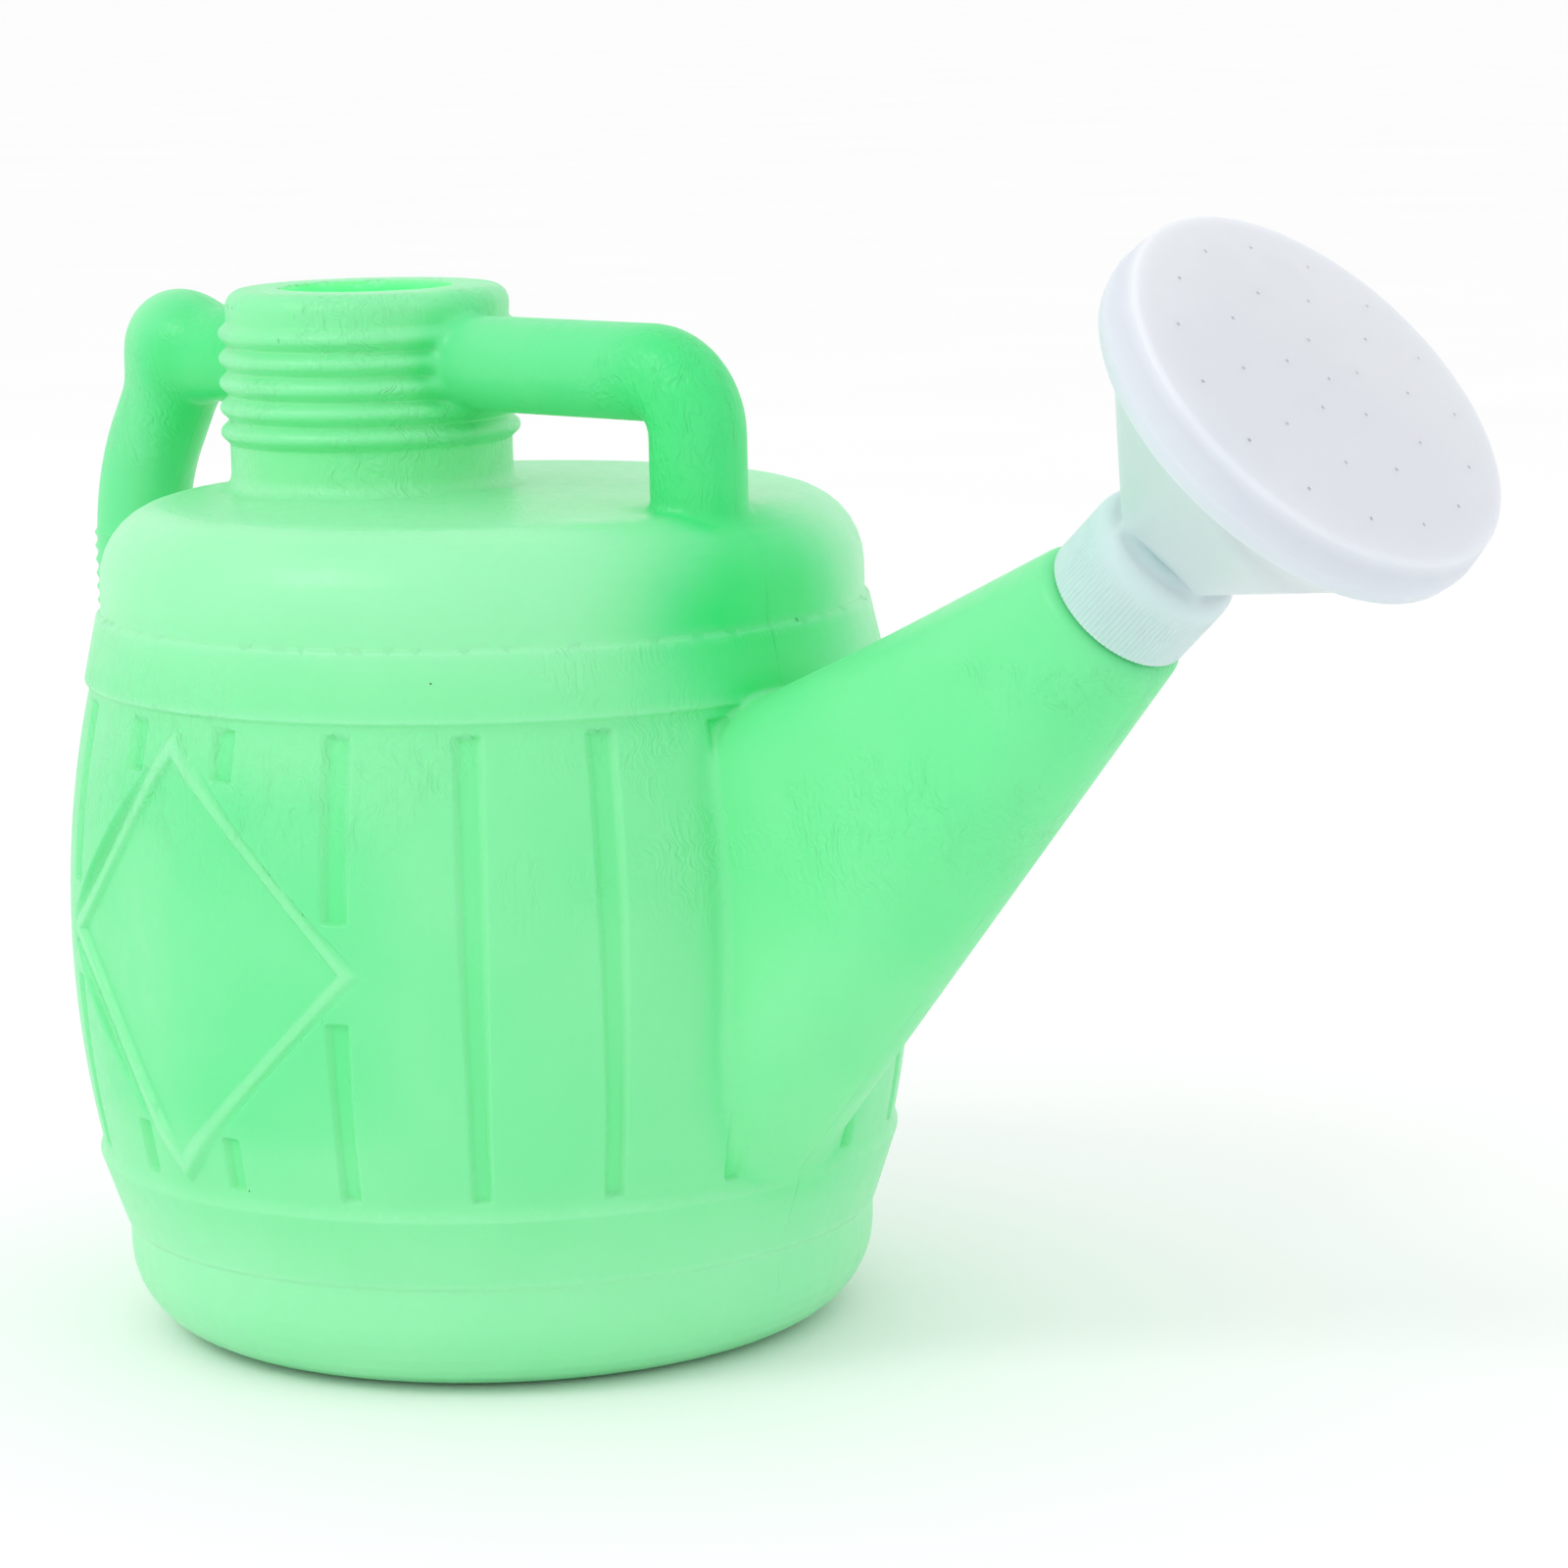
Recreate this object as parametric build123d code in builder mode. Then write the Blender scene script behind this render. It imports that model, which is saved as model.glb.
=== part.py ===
from build123d import *
import math
import os

os.makedirs("parts", exist_ok=True)

# A blow-moulded garden watering can shaped like a small stave barrel, with a
# screw-on rose. Millimetres. The origin is on the barrel's axis at the base,
# +Z is up and +X points along the spout. The mould's parting plane is XZ.

# ---- driving dimensions ------------------------------------------------------
wall = 2.0                 # wall of the moulded tank

# tank body, all revolved about Z
foot_r = 84.4              # radius of the plain foot under the lower hoop
foot_fillet = 20.0         # rounding from the foot to the flat base
low_hoop_z = 25.6          # bottom edge of the lower hoop
low_hoop_r = 85.0
low_hoop_top_z = 41.8      # widest line of the lower hoop
low_hoop_top_r = 90.6
stave_bottom = (89.8, 44.6)
stave_middle = (94.8, 92.0)
stave_top = (88.6, 145.6)
high_hoop = (89.6, 147.8)  # radius and height of the upper hoop's lower, widest edge
high_ledge = (86.2, 162.3) # and of its upper edge
shoulder_z = 163.0         # where the ledge over the upper hoop ends
shoulder_r = 85.3
shoulder_fillet = 17.0
tank_top_z = 186.4         # flat top that carries the neck

# staves and the diamond-shaped side panels
groove_count = 10          # grooves on each side of the parting plane
groove_first = 11.7        # angle of the groove beside the spout
groove_step = 18.0
groove_width = 3.7         # degrees
groove_depth = 1.0
groove_reach = 8.0         # the cutting profile stands this far out of the staves
panel_angle = 92.7         # direction in which a side panel faces
panel_z = 95.0
panel_half_width = 48.0
panel_half_height = 48.6
panel_reach = 92.5         # distance of a panel's face from the barrel's axis
panel_curve_r = 120.0      # the panel's face is curved about an upright axis
panel_border = 3.6
panel_rise = 1.4           # the border stands this proud of the panel's face
prism_start = 60.0         # the diamond's prism starts this far from the axis, inside the tank
prism_length = 50.0        # and ends outside it
beyond = 200.0             # a size that clears the whole tank

# filler neck
neck_x = -34.5
neck_r = 32.0
neck_top_z = 231.4
neck_rim_r = 32.5
neck_rim_h = 8.0
neck_rim_fillet = 4.0
neck_ring_r = 34.2
neck_ring_first_z = 199.3
neck_ring_pitch = 5.55
neck_ring_count = 5
neck_ring_half = 2.4       # half the height of one ring
filler_r = 19.5            # hole in the turned-in rim

# front handle, a tube from the neck forward and down to the tank's top
front_tube_r = 10.5
front_tube_z = 215.2
front_leg_x = 66.3
front_bend_r = 13.0
front_start_x = -10.5      # the handle's centre line starts inside the neck
front_end_z = 174.4        # and ends inside the tank

# rear handle, a tube from the neck back and down to the barrel
rear_tube_r = 11.0
rear_top_z = 214.0
rear_corner_x = -96.6
rear_knuckle_r = 12.6
rear_knuckle = (-98.4, 216.2)
rear_grip_x = -114.0
rear_grip_top_z = 183.0
rear_grip_bottom_z = 122.0
rear_foot_x = -86.0
rear_foot_z = 96.0
rear_bends = (14.0, 55.0, 25.0)
rear_start_x = -60.5       # the centre line starts inside the neck
grip_ring_first_z = 171.0
grip_ring_pitch = 3.25
grip_ring_count = 10
grip_ring_rise = 0.6
grip_ring_width = 1.3

# spout and its screw thread
spout_angle = 42.5         # the spout's mouth looks up by this much
mouth_x = 179.8            # middle of the mouth's end face
mouth_z = 173.3
spout_root_x = 70.0        # plane inside the barrel where the spout's loft starts
spout_top_slope = 25.4     # degrees
spout_low_slope = 49.3
spout_root_half_width = 25.0
spout_crown_depth = 17.0   # rounding of the spout's upper edge at its root
spout_keel_depth = 11.0    # rounding of its lower edge there
keel_wall = 1.5            # the slanting lower wall, measured upright, in tank walls
spout_end_r = 16.5
spout_shoulder = 3.0
nozzle_r = 12.4            # tube that carries the thread
nozzle_bore_r = 10.2
nozzle_length = 17.0
thread_crest_r = 13.6
thread_pitch = 4.2
thread_turns = 2.25
thread_start = 3.4         # distance from the spout's end face
thread_foot = 1.3          # half the thread's width at its root
thread_tip = 0.5           # and at its crest
thread_root = 0.3          # how deep the thread is set into the nozzle

# rose: collar, funnel and face, measured along the spout's axis
collar_gap = 0.8           # between the spout's end face and the collar
collar_r = 16.3
collar_length = 20.0
collar_bore_r = 14.0
collar_ceiling = 18.6
collar_fillet = 3.0
rib_count = 100
rib_length = 14.0
rib_depth = 0.3
washer_r = 13.6
washer_bore_r = 9.4
washer_thickness = 1.8
washer_gap = 0.3
funnel_side = 21.0         # the funnel starts as a square
funnel_corner = 1.5
funnel_turn = 22.0         # turn of that square about the axis
funnel_mouth_r = 42.35
funnel_flare = 34.6        # length over which the square turns into a circle
funnel_wall = 1.6
funnel_lip = 7.0
funnel_throat_r = 7.5      # hole between the collar and the funnel
face_r = 45.2
face_back = 55.6           # open edge of the face's skirt
face_front = 68.0          # where the skirt's rounding meets the domed face
face_crown = 2.2
face_wall = 1.6
face_fillet = 3.3
face_taper = 0.6           # the skirt's open edge is this much smaller in radius
hole_r = 0.6
hole_rings = ((0.0, 1, 0), (10.0, 5, 147), (22.5, 10, 94), (35.0, 15, 125))  # r, count, angle

# ---- frames ------------------------------------------------------------------
spout_dir = Vector(math.cos(math.radians(spout_angle)), 0, math.sin(math.radians(spout_angle)))
spout_up = Vector(-spout_dir.Z, 0, spout_dir.X)
mouth = Plane(origin=(mouth_x, 0, mouth_z), x_dir=(0, 1, 0), z_dir=spout_dir)
collar = mouth.offset(collar_gap)
rose_section = Plane(origin=collar.origin, x_dir=spout_up, z_dir=spout_up.cross(spout_dir))


def upright_plane(angle):
    """Vertical plane through the barrel's axis, its x pointing out at the angle."""
    turn = math.radians(angle)
    return Plane(origin=(0, 0, 0), x_dir=(math.cos(turn), math.sin(turn), 0),
                 z_dir=(math.sin(turn), -math.cos(turn), 0))


def side_plane(angle):
    """Vertical plane through the barrel's axis, its normal pointing out at the angle."""
    turn = math.radians(angle)
    return Plane(origin=(0, 0, 0), x_dir=(-math.sin(turn), math.cos(turn), 0),
                 z_dir=(math.cos(turn), math.sin(turn), 0))


# ---- shared solids ------------------------------------------------------------
def stave_curve(rise):
    """The bulging outline of the staves, moved out by the rise."""
    points = [(radius + rise, height) for radius, height in (stave_bottom, stave_middle, stave_top)]
    return ThreePointArc(*points)


def tank_solid(inset):
    """The revolved tank, filled, with its surface moved in by the inset."""
    with BuildPart() as solid:
        with BuildSketch(Plane.XZ):
            with BuildLine():
                foot = Line((0, inset), (foot_r - foot_fillet, inset))
                corner = TangentArc(foot @ 1, (foot_r - inset, foot_fillet), tangent=foot % 1)
                stand = Line(corner @ 1, (low_hoop_r - inset, low_hoop_z))
                hoop = Line(stand @ 1, (low_hoop_top_r - inset, low_hoop_top_z))
                ledge = Line(hoop @ 1, (stave_bottom[0] - inset, stave_bottom[1]))
                staves = stave_curve(-inset)
                step = Line(staves @ 1, (high_hoop[0] - inset, high_hoop[1]))
                band = Line(step @ 1, (high_ledge[0] - inset, high_ledge[1]))
                edge = Line(band @ 1, (shoulder_r - inset, shoulder_z))
                side = Line(edge @ 1, (shoulder_r - inset, tank_top_z - shoulder_fillet))
                dome = TangentArc(side @ 1, (shoulder_r - shoulder_fillet, tank_top_z - inset),
                                  tangent=side % 1)
                top = Line(dome @ 1, (0, tank_top_z - inset))
                Line(top @ 1, (0, inset))
            make_face()
        revolve(axis=Axis.Z)
    return solid.part


def panel_prisms(shrink):
    """Diamond prisms that stand out through the barrel's two sides."""
    across = panel_half_width - shrink
    up = across * panel_half_height / panel_half_width
    with BuildPart() as prisms:
        for angle in (panel_angle, -panel_angle):
            with BuildSketch(side_plane(angle).offset(prism_start)):
                with BuildLine():
                    Polyline((across, panel_z), (0, panel_z + up), (-across, panel_z),
                             (0, panel_z - up), close=True)
                make_face()
            extrude(amount=prism_length)
    return prisms.part


def panel_solid(shrink, rise):
    """The same diamonds, cut off at the panels' curved faces raised by the rise."""
    with BuildPart() as panels:
        for angle in (panel_angle, -panel_angle):
            centre = side_plane(angle).z_dir * (panel_reach - panel_curve_r)
            with BuildSketch(Plane.XY):
                with Locations((centre.X, centre.Y)):
                    Circle(panel_curve_r + rise)
                with BuildLine():
                    facing = side_plane(angle)
                    near, far = facing.origin, facing.z_dir * beyond
                    side = facing.x_dir * beyond
                    Polyline(near - side, near + side, far + side, far - side, close=True)
                make_face(mode=Mode.INTERSECT)
            extrude(amount=tank_top_z)
        add(panel_prisms(shrink), mode=Mode.INTERSECT)
    return panels.part


def panel_recess():
    """What the panels take away from the staves, and from the hollow behind them."""
    with BuildPart() as recess:
        add(panel_prisms(-wall))
        add(panel_solid(-wall, -wall), mode=Mode.SUBTRACT)
    return recess.part


def panel_pocket():
    """What is cut from the raised diamonds to leave their border."""
    with BuildPart() as pocket:
        add(panel_prisms(panel_border))
        add(panel_solid(panel_border, 0), mode=Mode.SUBTRACT)
    return pocket.part


def spout_solid(inset):
    """The filled spout, its skin moved in by the inset, from inside the barrel to the mouth."""
    upper_end = Vector(mouth_x, 0, mouth_z) + spout_up * spout_end_r
    lower_end = Vector(mouth_x, 0, mouth_z) - spout_up * spout_end_r
    rise = math.tan(math.radians(spout_top_slope))
    fall = math.tan(math.radians(spout_low_slope))
    top_z = upper_end.Z - (upper_end.X - spout_root_x) * rise - inset
    low_z = lower_end.Z - (lower_end.X - spout_root_x) * fall + inset * keel_wall
    wide = spout_root_half_width - inset
    crown_depth = spout_crown_depth - inset / 2
    keel_depth = spout_keel_depth - inset / 2
    with BuildPart() as solid:
        with BuildSketch(Plane.YZ.offset(spout_root_x)):
            with BuildLine():
                crown = EllipticalCenterArc((0, top_z - crown_depth), wide, crown_depth, 0,
                                            arc_size=180)
                left = Line(crown @ 1, (-wide, low_z + keel_depth))
                keel = EllipticalCenterArc((0, low_z + keel_depth), wide, keel_depth, 180,
                                           arc_size=180)
                Line(keel @ 1, crown @ 0)
            make_face()
        with BuildSketch(mouth):
            with BuildLine():
                for start, size in ((0, 180), (180, 8), (188, 164), (352, 8)):
                    CenterArc((0, 0), spout_end_r - inset, start, size)
            make_face()
        loft(ruled=True)
    return solid.part


def neck_solid():
    """The filled outside of the filler neck: foot, rings and rolled rim."""
    with BuildPart() as solid:
        with BuildSketch(Plane.XZ):
            with BuildLine():
                Polyline((0, neck_top_z), (0, tank_top_z), (neck_r, tank_top_z))
                last = Vector(neck_r, tank_top_z)
                for ring in range(neck_ring_count):
                    ring_z = neck_ring_first_z + ring * neck_ring_pitch
                    plain = Line(last, (neck_r, ring_z - neck_ring_half))
                    crest = ThreePointArc(plain @ 1, (neck_ring_r, ring_z),
                                          (neck_r, ring_z + neck_ring_half))
                    last = crest @ 1
                rim = Polyline(last, (neck_rim_r, neck_top_z - neck_rim_h),
                               (neck_rim_r, neck_top_z - neck_rim_fillet))
                roll = TangentArc(rim @ 1, (neck_rim_r - neck_rim_fillet, neck_top_z),
                                  tangent=rim % 1)
                Line(roll @ 1, (0, neck_top_z))
            make_face()
        revolve(axis=Axis.Z)
    return solid.part.moved(Location((neck_x, 0, 0)))


def tube(points, bends, radius):
    """Round rod along straight runs joined by arcs, in the parting plane."""
    with BuildPart() as rod:
        with BuildLine(Plane.XZ) as path:
            FilletPolyline(*points, radius=bends)
        with BuildSketch(Plane(origin=path.line @ 0, z_dir=path.line % 0)):
            Circle(radius)
        sweep()
    return rod.part


def front_rod(radius):
    """The front handle as a rod of the given radius, from inside the neck into the tank."""
    points = ((front_start_x, front_tube_z), (front_leg_x, front_tube_z),
              (front_leg_x, front_end_z))
    return tube(points, front_bend_r, radius)


def rear_rod(inset):
    """The rear handle filled, its skin moved in by the inset, with its knuckle and rings."""
    points = ((rear_start_x, rear_top_z), (rear_corner_x, rear_top_z),
              (rear_grip_x, rear_grip_top_z), (rear_grip_x, rear_grip_bottom_z),
              (rear_foot_x, rear_foot_z))
    with BuildPart() as rod:
        add(tube(points, rear_bends, rear_tube_r - inset))
        with Locations((rear_knuckle[0], 0, rear_knuckle[1])):
            Sphere(rear_knuckle_r - inset)
        if inset == 0:
            for ring in range(grip_ring_count):
                with Locations((rear_grip_x, 0, grip_ring_first_z - ring * grip_ring_pitch)):
                    Cylinder(rear_tube_r + grip_ring_rise, grip_ring_width)
    return rod.part


def funnel_solid(inset):
    """The filled funnel: a rounded square that turns into a circle, then a round lip."""
    turned = spout_up * math.sin(math.radians(funnel_turn))
    turned += Vector(0, 1, 0) * math.cos(math.radians(funnel_turn))
    start = Plane(origin=collar.origin + spout_dir * collar_length, x_dir=turned,
                  z_dir=spout_dir)
    half = funnel_side / 2 - inset
    straight = half - funnel_corner
    small = math.degrees(funnel_corner / funnel_mouth_r) / 2
    with BuildPart() as solid:
        with BuildSketch(start):
            with BuildLine():
                for turn in (0, 90, 180, 270):
                    low, high, middle = (Vector(x, y).rotate(Axis.Z, turn) for x, y in (
                        (half, -straight), (half, straight), (straight, straight)))
                    Line(low, high)
                    CenterArc(middle, funnel_corner, turn, 90)
            make_face()
        with BuildSketch(start.offset(funnel_flare)):
            with BuildLine():
                for turn in (0, 90, 180, 270):
                    CenterArc((0, 0), funnel_mouth_r - inset, turn - small, 2 * small)
                    CenterArc((0, 0), funnel_mouth_r - inset, turn + small, 90 - 2 * small)
            make_face()
        loft(ruled=True)
        with BuildSketch(start.offset(funnel_flare)):
            Circle(funnel_mouth_r - inset)
        extrude(amount=funnel_lip)
    return solid.part


def thread_solid():
    """The nozzle's screw thread, a trapezium swept along a helix."""
    depth = thread_crest_r - nozzle_r + thread_root
    helix = Helix(thread_pitch, thread_pitch * thread_turns, nozzle_r - thread_root)
    with BuildPart() as thread:
        with BuildSketch(Plane(origin=helix @ 0, x_dir=(1, 0, 0), z_dir=helix % 0)):
            with BuildLine():
                Polyline((0, -thread_foot), (depth, -thread_tip), (depth, thread_tip),
                         (0, thread_foot), close=True)
            make_face()
        sweep(path=helix, is_frenet=True)
    return thread.part.moved(mouth.offset(thread_start).location)


tank_outside = tank_solid(0)
tank_inside = tank_solid(wall)
neck_outside = neck_solid()
front_bore = front_rod(front_tube_r - wall)
rear_bore = rear_rod(wall)
with BuildPart() as barrel_hollow:
    add(tank_inside)
    add(panel_recess(), mode=Mode.SUBTRACT)
with BuildPart() as spout_hollow:
    add(spout_solid(wall))
    split(bisect_by=mouth.offset(-spout_shoulder), keep=Keep.BOTTOM)
spout_bore = spout_hollow.part

# ---- tank base: flat bottom, foot and lower hoop ------------------------------
with BuildPart() as tank_base:
    add(tank_outside)
    add(tank_inside, mode=Mode.SUBTRACT)
    split(bisect_by=Plane.XY.offset(stave_bottom[1]), keep=Keep.BOTTOM)
    add(spout_bore, mode=Mode.SUBTRACT)
tank_base.part.label = "tank_base"

# ---- tank barrel: the staves, the grooves between them and the two side panels -
with BuildPart() as tank_barrel:
    add(tank_outside)
    for side in (1, -1):
        for number in range(groove_count):
            angle = side * (groove_first + number * groove_step) - groove_width / 2
            with BuildSketch(upright_plane(angle)):
                with BuildLine():
                    floor_line = stave_curve(-groove_depth)
                    Polyline(floor_line @ 1, (stave_top[0] + groove_reach, stave_top[1]),
                             (stave_bottom[0] + groove_reach, stave_bottom[1]), floor_line @ 0)
                make_face()
            revolve(axis=Axis.Z, revolution_arc=groove_width, mode=Mode.SUBTRACT)
    add(panel_prisms(0), mode=Mode.SUBTRACT)
    add(panel_solid(0, panel_rise))
    add(panel_pocket(), mode=Mode.SUBTRACT)
    split(bisect_by=Plane.XY.offset(stave_bottom[1]), keep=Keep.TOP)
    split(bisect_by=Plane.XY.offset(stave_top[1]), keep=Keep.BOTTOM)
    add(barrel_hollow.part, mode=Mode.SUBTRACT)
    add(spout_bore, mode=Mode.SUBTRACT)
    add(rear_bore, mode=Mode.SUBTRACT)
tank_barrel.part.label = "tank_barrel"

# ---- tank shoulder: upper hoop, dome and flat top ------------------------------
with BuildPart() as tank_shoulder:
    add(tank_outside)
    add(tank_inside, mode=Mode.SUBTRACT)
    split(bisect_by=Plane.XY.offset(stave_top[1]), keep=Keep.TOP)
    with BuildSketch(Plane.XY.offset(tank_top_z)):
        with Locations((neck_x, 0)):
            Circle(neck_r - wall)
    extrude(amount=-wall, mode=Mode.SUBTRACT)
    add(spout_bore, mode=Mode.SUBTRACT)
    add(front_bore, mode=Mode.SUBTRACT)
tank_shoulder.part.label = "tank_shoulder"

# ---- filler neck -----------------------------------------------------------------
with BuildPart() as filler_neck:
    add(neck_outside)
    with BuildSketch(Plane.XY.offset(tank_top_z)):
        with Locations((neck_x, 0)):
            Circle(neck_r - wall)
    extrude(amount=neck_top_z - tank_top_z - wall, mode=Mode.SUBTRACT)
    with BuildSketch(Plane.XY.offset(neck_top_z)):
        with Locations((neck_x, 0)):
            Circle(filler_r)
    extrude(amount=-wall, mode=Mode.SUBTRACT)
    add(front_bore, mode=Mode.SUBTRACT)
    add(rear_bore, mode=Mode.SUBTRACT)
filler_neck.part.label = "filler_neck"

# ---- front handle ------------------------------------------------------------------
with BuildPart() as front_handle:
    add(front_rod(front_tube_r))
    add(front_bore, mode=Mode.SUBTRACT)
    add(neck_outside, mode=Mode.SUBTRACT)
    add(tank_outside, mode=Mode.SUBTRACT)
front_handle.part.label = "front_handle"

# ---- rear handle -------------------------------------------------------------------
with BuildPart() as rear_handle:
    add(rear_rod(0))
    add(rear_bore, mode=Mode.SUBTRACT)
    add(neck_outside, mode=Mode.SUBTRACT)
    add(tank_outside, mode=Mode.SUBTRACT)
rear_handle.part.label = "rear_handle"

# ---- spout -------------------------------------------------------------------------
with BuildPart() as spout:
    add(spout_solid(0))
    end_face = spout.faces().sort_by(Axis(mouth.origin, spout_dir))[-1]
    fillet(end_face.edges(), spout_shoulder)
    add(spout_bore, mode=Mode.SUBTRACT)
    with BuildSketch(mouth):
        Circle(nozzle_bore_r)
    extrude(amount=-2 * spout_shoulder, mode=Mode.SUBTRACT)
    add(tank_outside, mode=Mode.SUBTRACT)
spout.part.label = "spout"

# ---- screw nozzle on the spout's end, under the rose's collar ------------------------
with BuildPart() as screw_nozzle:
    with BuildSketch(mouth):
        Circle(nozzle_r)
        Circle(nozzle_bore_r, mode=Mode.SUBTRACT)
    extrude(amount=nozzle_length)
    add(thread_solid())
screw_nozzle.part.label = "screw_nozzle"

# ---- sealing washer inside the collar --------------------------------------------------
with BuildPart() as sealing_washer:
    with BuildSketch(collar.offset(collar_ceiling - washer_gap - washer_thickness)):
        Circle(washer_r)
        Circle(washer_bore_r, mode=Mode.SUBTRACT)
    extrude(amount=washer_thickness)
sealing_washer.part.label = "sealing_washer"

# ---- rose body: ribbed screw collar and funnel, one moulding ---------------------------
with BuildPart() as rose_body:
    with BuildSketch(collar):
        Circle(collar_r)
    extrude(amount=collar_length)
    fillet(rose_body.faces().sort_by(Axis(collar.origin, spout_dir))[-1].edges(), collar_fillet)
    with BuildSketch(collar):
        Circle(collar_r)
        with BuildLine():
            step = 360 / rib_count
            rim = []
            for rib in range(rib_count):
                for radius, angle in ((collar_r, rib * step), (collar_r - rib_depth, (rib + 0.5) * step)):
                    rim.append(Vector(radius, 0).rotate(Axis.Z, angle))
            Polyline(*rim, close=True)
        make_face(mode=Mode.SUBTRACT)
    extrude(amount=rib_length, mode=Mode.SUBTRACT)
    add(funnel_solid(0))
    add(funnel_solid(funnel_wall), mode=Mode.SUBTRACT)
    with BuildSketch(collar):
        Circle(collar_bore_r)
    extrude(amount=collar_ceiling, mode=Mode.SUBTRACT)
    with BuildSketch(collar):
        Circle(funnel_throat_r)
    extrude(amount=collar_length, mode=Mode.SUBTRACT)
rose_body.part.label = "rose_body"

# ---- rose face: domed plate with its skirt and the spray holes -------------------------
with BuildPart() as rose_face:
    with BuildSketch(rose_section):
        with BuildLine():
            skirt_r = face_r - face_taper - face_wall
            apex = face_front + face_crown
            dome = TangentArc((0, apex), (face_r - face_fillet, face_front), tangent=(1, 0))
            roll = TangentArc(dome @ 1, (face_r, face_front - face_fillet), tangent=(1, 0))
            skirt = Line(roll @ 1, (face_r - face_taper, face_back))
            hem = Line(skirt @ 1, (skirt_r, face_back))
            inner = Line(hem @ 1, (skirt_r, face_front - face_wall))
            ceiling = TangentArc((0, apex - face_wall), inner @ 1, tangent=(1, 0))
            Line(ceiling @ 0, dome @ 0)
        make_face()
    revolve(axis=Axis(collar.origin, spout_dir))
    with BuildSketch(collar.offset(apex)):
        for ring_r, count, first in hole_rings:
            with PolarLocations(ring_r, count, start_angle=first):
                Circle(hole_r)
    extrude(amount=-face_crown - face_wall - 1, mode=Mode.SUBTRACT)
rose_face.part.label = "rose_face"

# ---- files -------------------------------------------------------------------------------
for node in (tank_base, tank_barrel, tank_shoulder, filler_neck, front_handle, rear_handle,
             spout, screw_nozzle, sealing_washer, rose_body, rose_face):
    export_step(node.part, f"parts/{node.part.label}.step")
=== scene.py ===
"""The visual model of a blow-moulded watering can with a screw-on rose.

The green tank is one moulding, so it is one skin here: a distance field in millimetres joins
the barrel, neck, handles and spout with smooth fillets, and a surface net turns it into a mesh.
"""
import math

import bmesh
import bpy
import numpy as np
from mathutils import Matrix, Vector


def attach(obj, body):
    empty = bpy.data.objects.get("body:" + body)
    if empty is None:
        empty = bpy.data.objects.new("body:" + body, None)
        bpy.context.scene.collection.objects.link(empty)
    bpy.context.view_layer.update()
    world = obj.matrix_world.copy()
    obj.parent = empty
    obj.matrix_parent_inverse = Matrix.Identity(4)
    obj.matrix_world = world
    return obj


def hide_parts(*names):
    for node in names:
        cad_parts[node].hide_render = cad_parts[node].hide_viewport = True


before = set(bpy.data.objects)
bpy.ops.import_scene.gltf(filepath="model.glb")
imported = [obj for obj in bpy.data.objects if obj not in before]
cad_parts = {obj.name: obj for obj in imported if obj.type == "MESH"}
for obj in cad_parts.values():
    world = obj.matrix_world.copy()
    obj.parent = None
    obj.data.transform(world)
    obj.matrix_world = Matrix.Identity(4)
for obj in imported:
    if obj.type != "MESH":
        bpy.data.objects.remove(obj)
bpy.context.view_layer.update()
MM = 0.001

# ---- the tank: driving dimensions in millimetres; pairs are (radius, z) or (x, z) ---------------
WALL = 2.0
THICK_WALL = 5.0
PAST_AXIS = -10

FOOT_R = 84.4
FOOT_ROUNDING = 19.5
LOW_HOOP_BOTTOM = (85.2, 25.7)
LOW_HOOP_TOP = (90.5, 41.4)
STAVE_BOTTOM = (89.8, 44.6)
STAVE_MIDDLE = (94.8, 92.0)
STAVE_TOP = (88.6, 145.6)
HIGH_HOOP_BOTTOM = (89.55, 147.7)
HIGH_HOOP_TOP = (86.4, 162.0)
SHOULDER_R = 85.3
SHOULDER_ROUNDING = 17.0
TANK_TOP = 186.4

GROOVE_FIRST = 11.7
GROOVE_STEP = 18.0
GROOVE_HALF_TOP = 3.7
GROOVE_HALF_LOW = 2.7
GROOVE_DEPTH = 1.45
GROOVE_FLOOR = 0.4
GROOVE_END = 1.4

PANEL_ANGLE = math.radians(92.7)
PANEL_Z = 95.0
PANEL_HALF_WIDTH = 48.0
PANEL_HALF_HEIGHT = 48.6
PANEL_REACH = 91.4
PANEL_FALL = 11.5
PANEL_FALL_POWER = 1.1
PANEL_CREST = 6.0
PANEL_LEAN = 0.022
PANEL_BORDER = 4.0
PANEL_RISE = 1.3
PANEL_PROUD = 1.5
PANEL_NEAR = 55
BARREL_R = 93

NECK_X = -34.5
NECK_R = 32.0
NECK_TOP = 231.4
RIM_R = 32.4
RIM_ROUNDING = 4.2
RING_R = 34.7
RING_HALF = 2.6
RING_ROUNDING = 1.7
RING_FIRST = 199.3
RING_PITCH = 5.55
RING_COUNT = 5
FILLER_R = 19.5

FRONT_TUBE_R = 10.6
FRONT_Z = 215.2
FRONT_X = 66.3
FRONT_BEND = 13
REAR_TUBE_R = 11.0
REAR_Z = 214.0
REAR_ELBOW_X = -96.6
KNUCKLE = (-98.4, 216.2)
KNUCKLE_R = 12.6
GRIP_X = -114.0
GRIP_TOP_Z = 183.0
GRIP_LOW_Z = 122.0
GRIP_RING_FIRST = 171.0
GRIP_RING_PITCH = 3.25
GRIP_RING_COUNT = 10
GRIP_RING_RISE = 0.55

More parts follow.
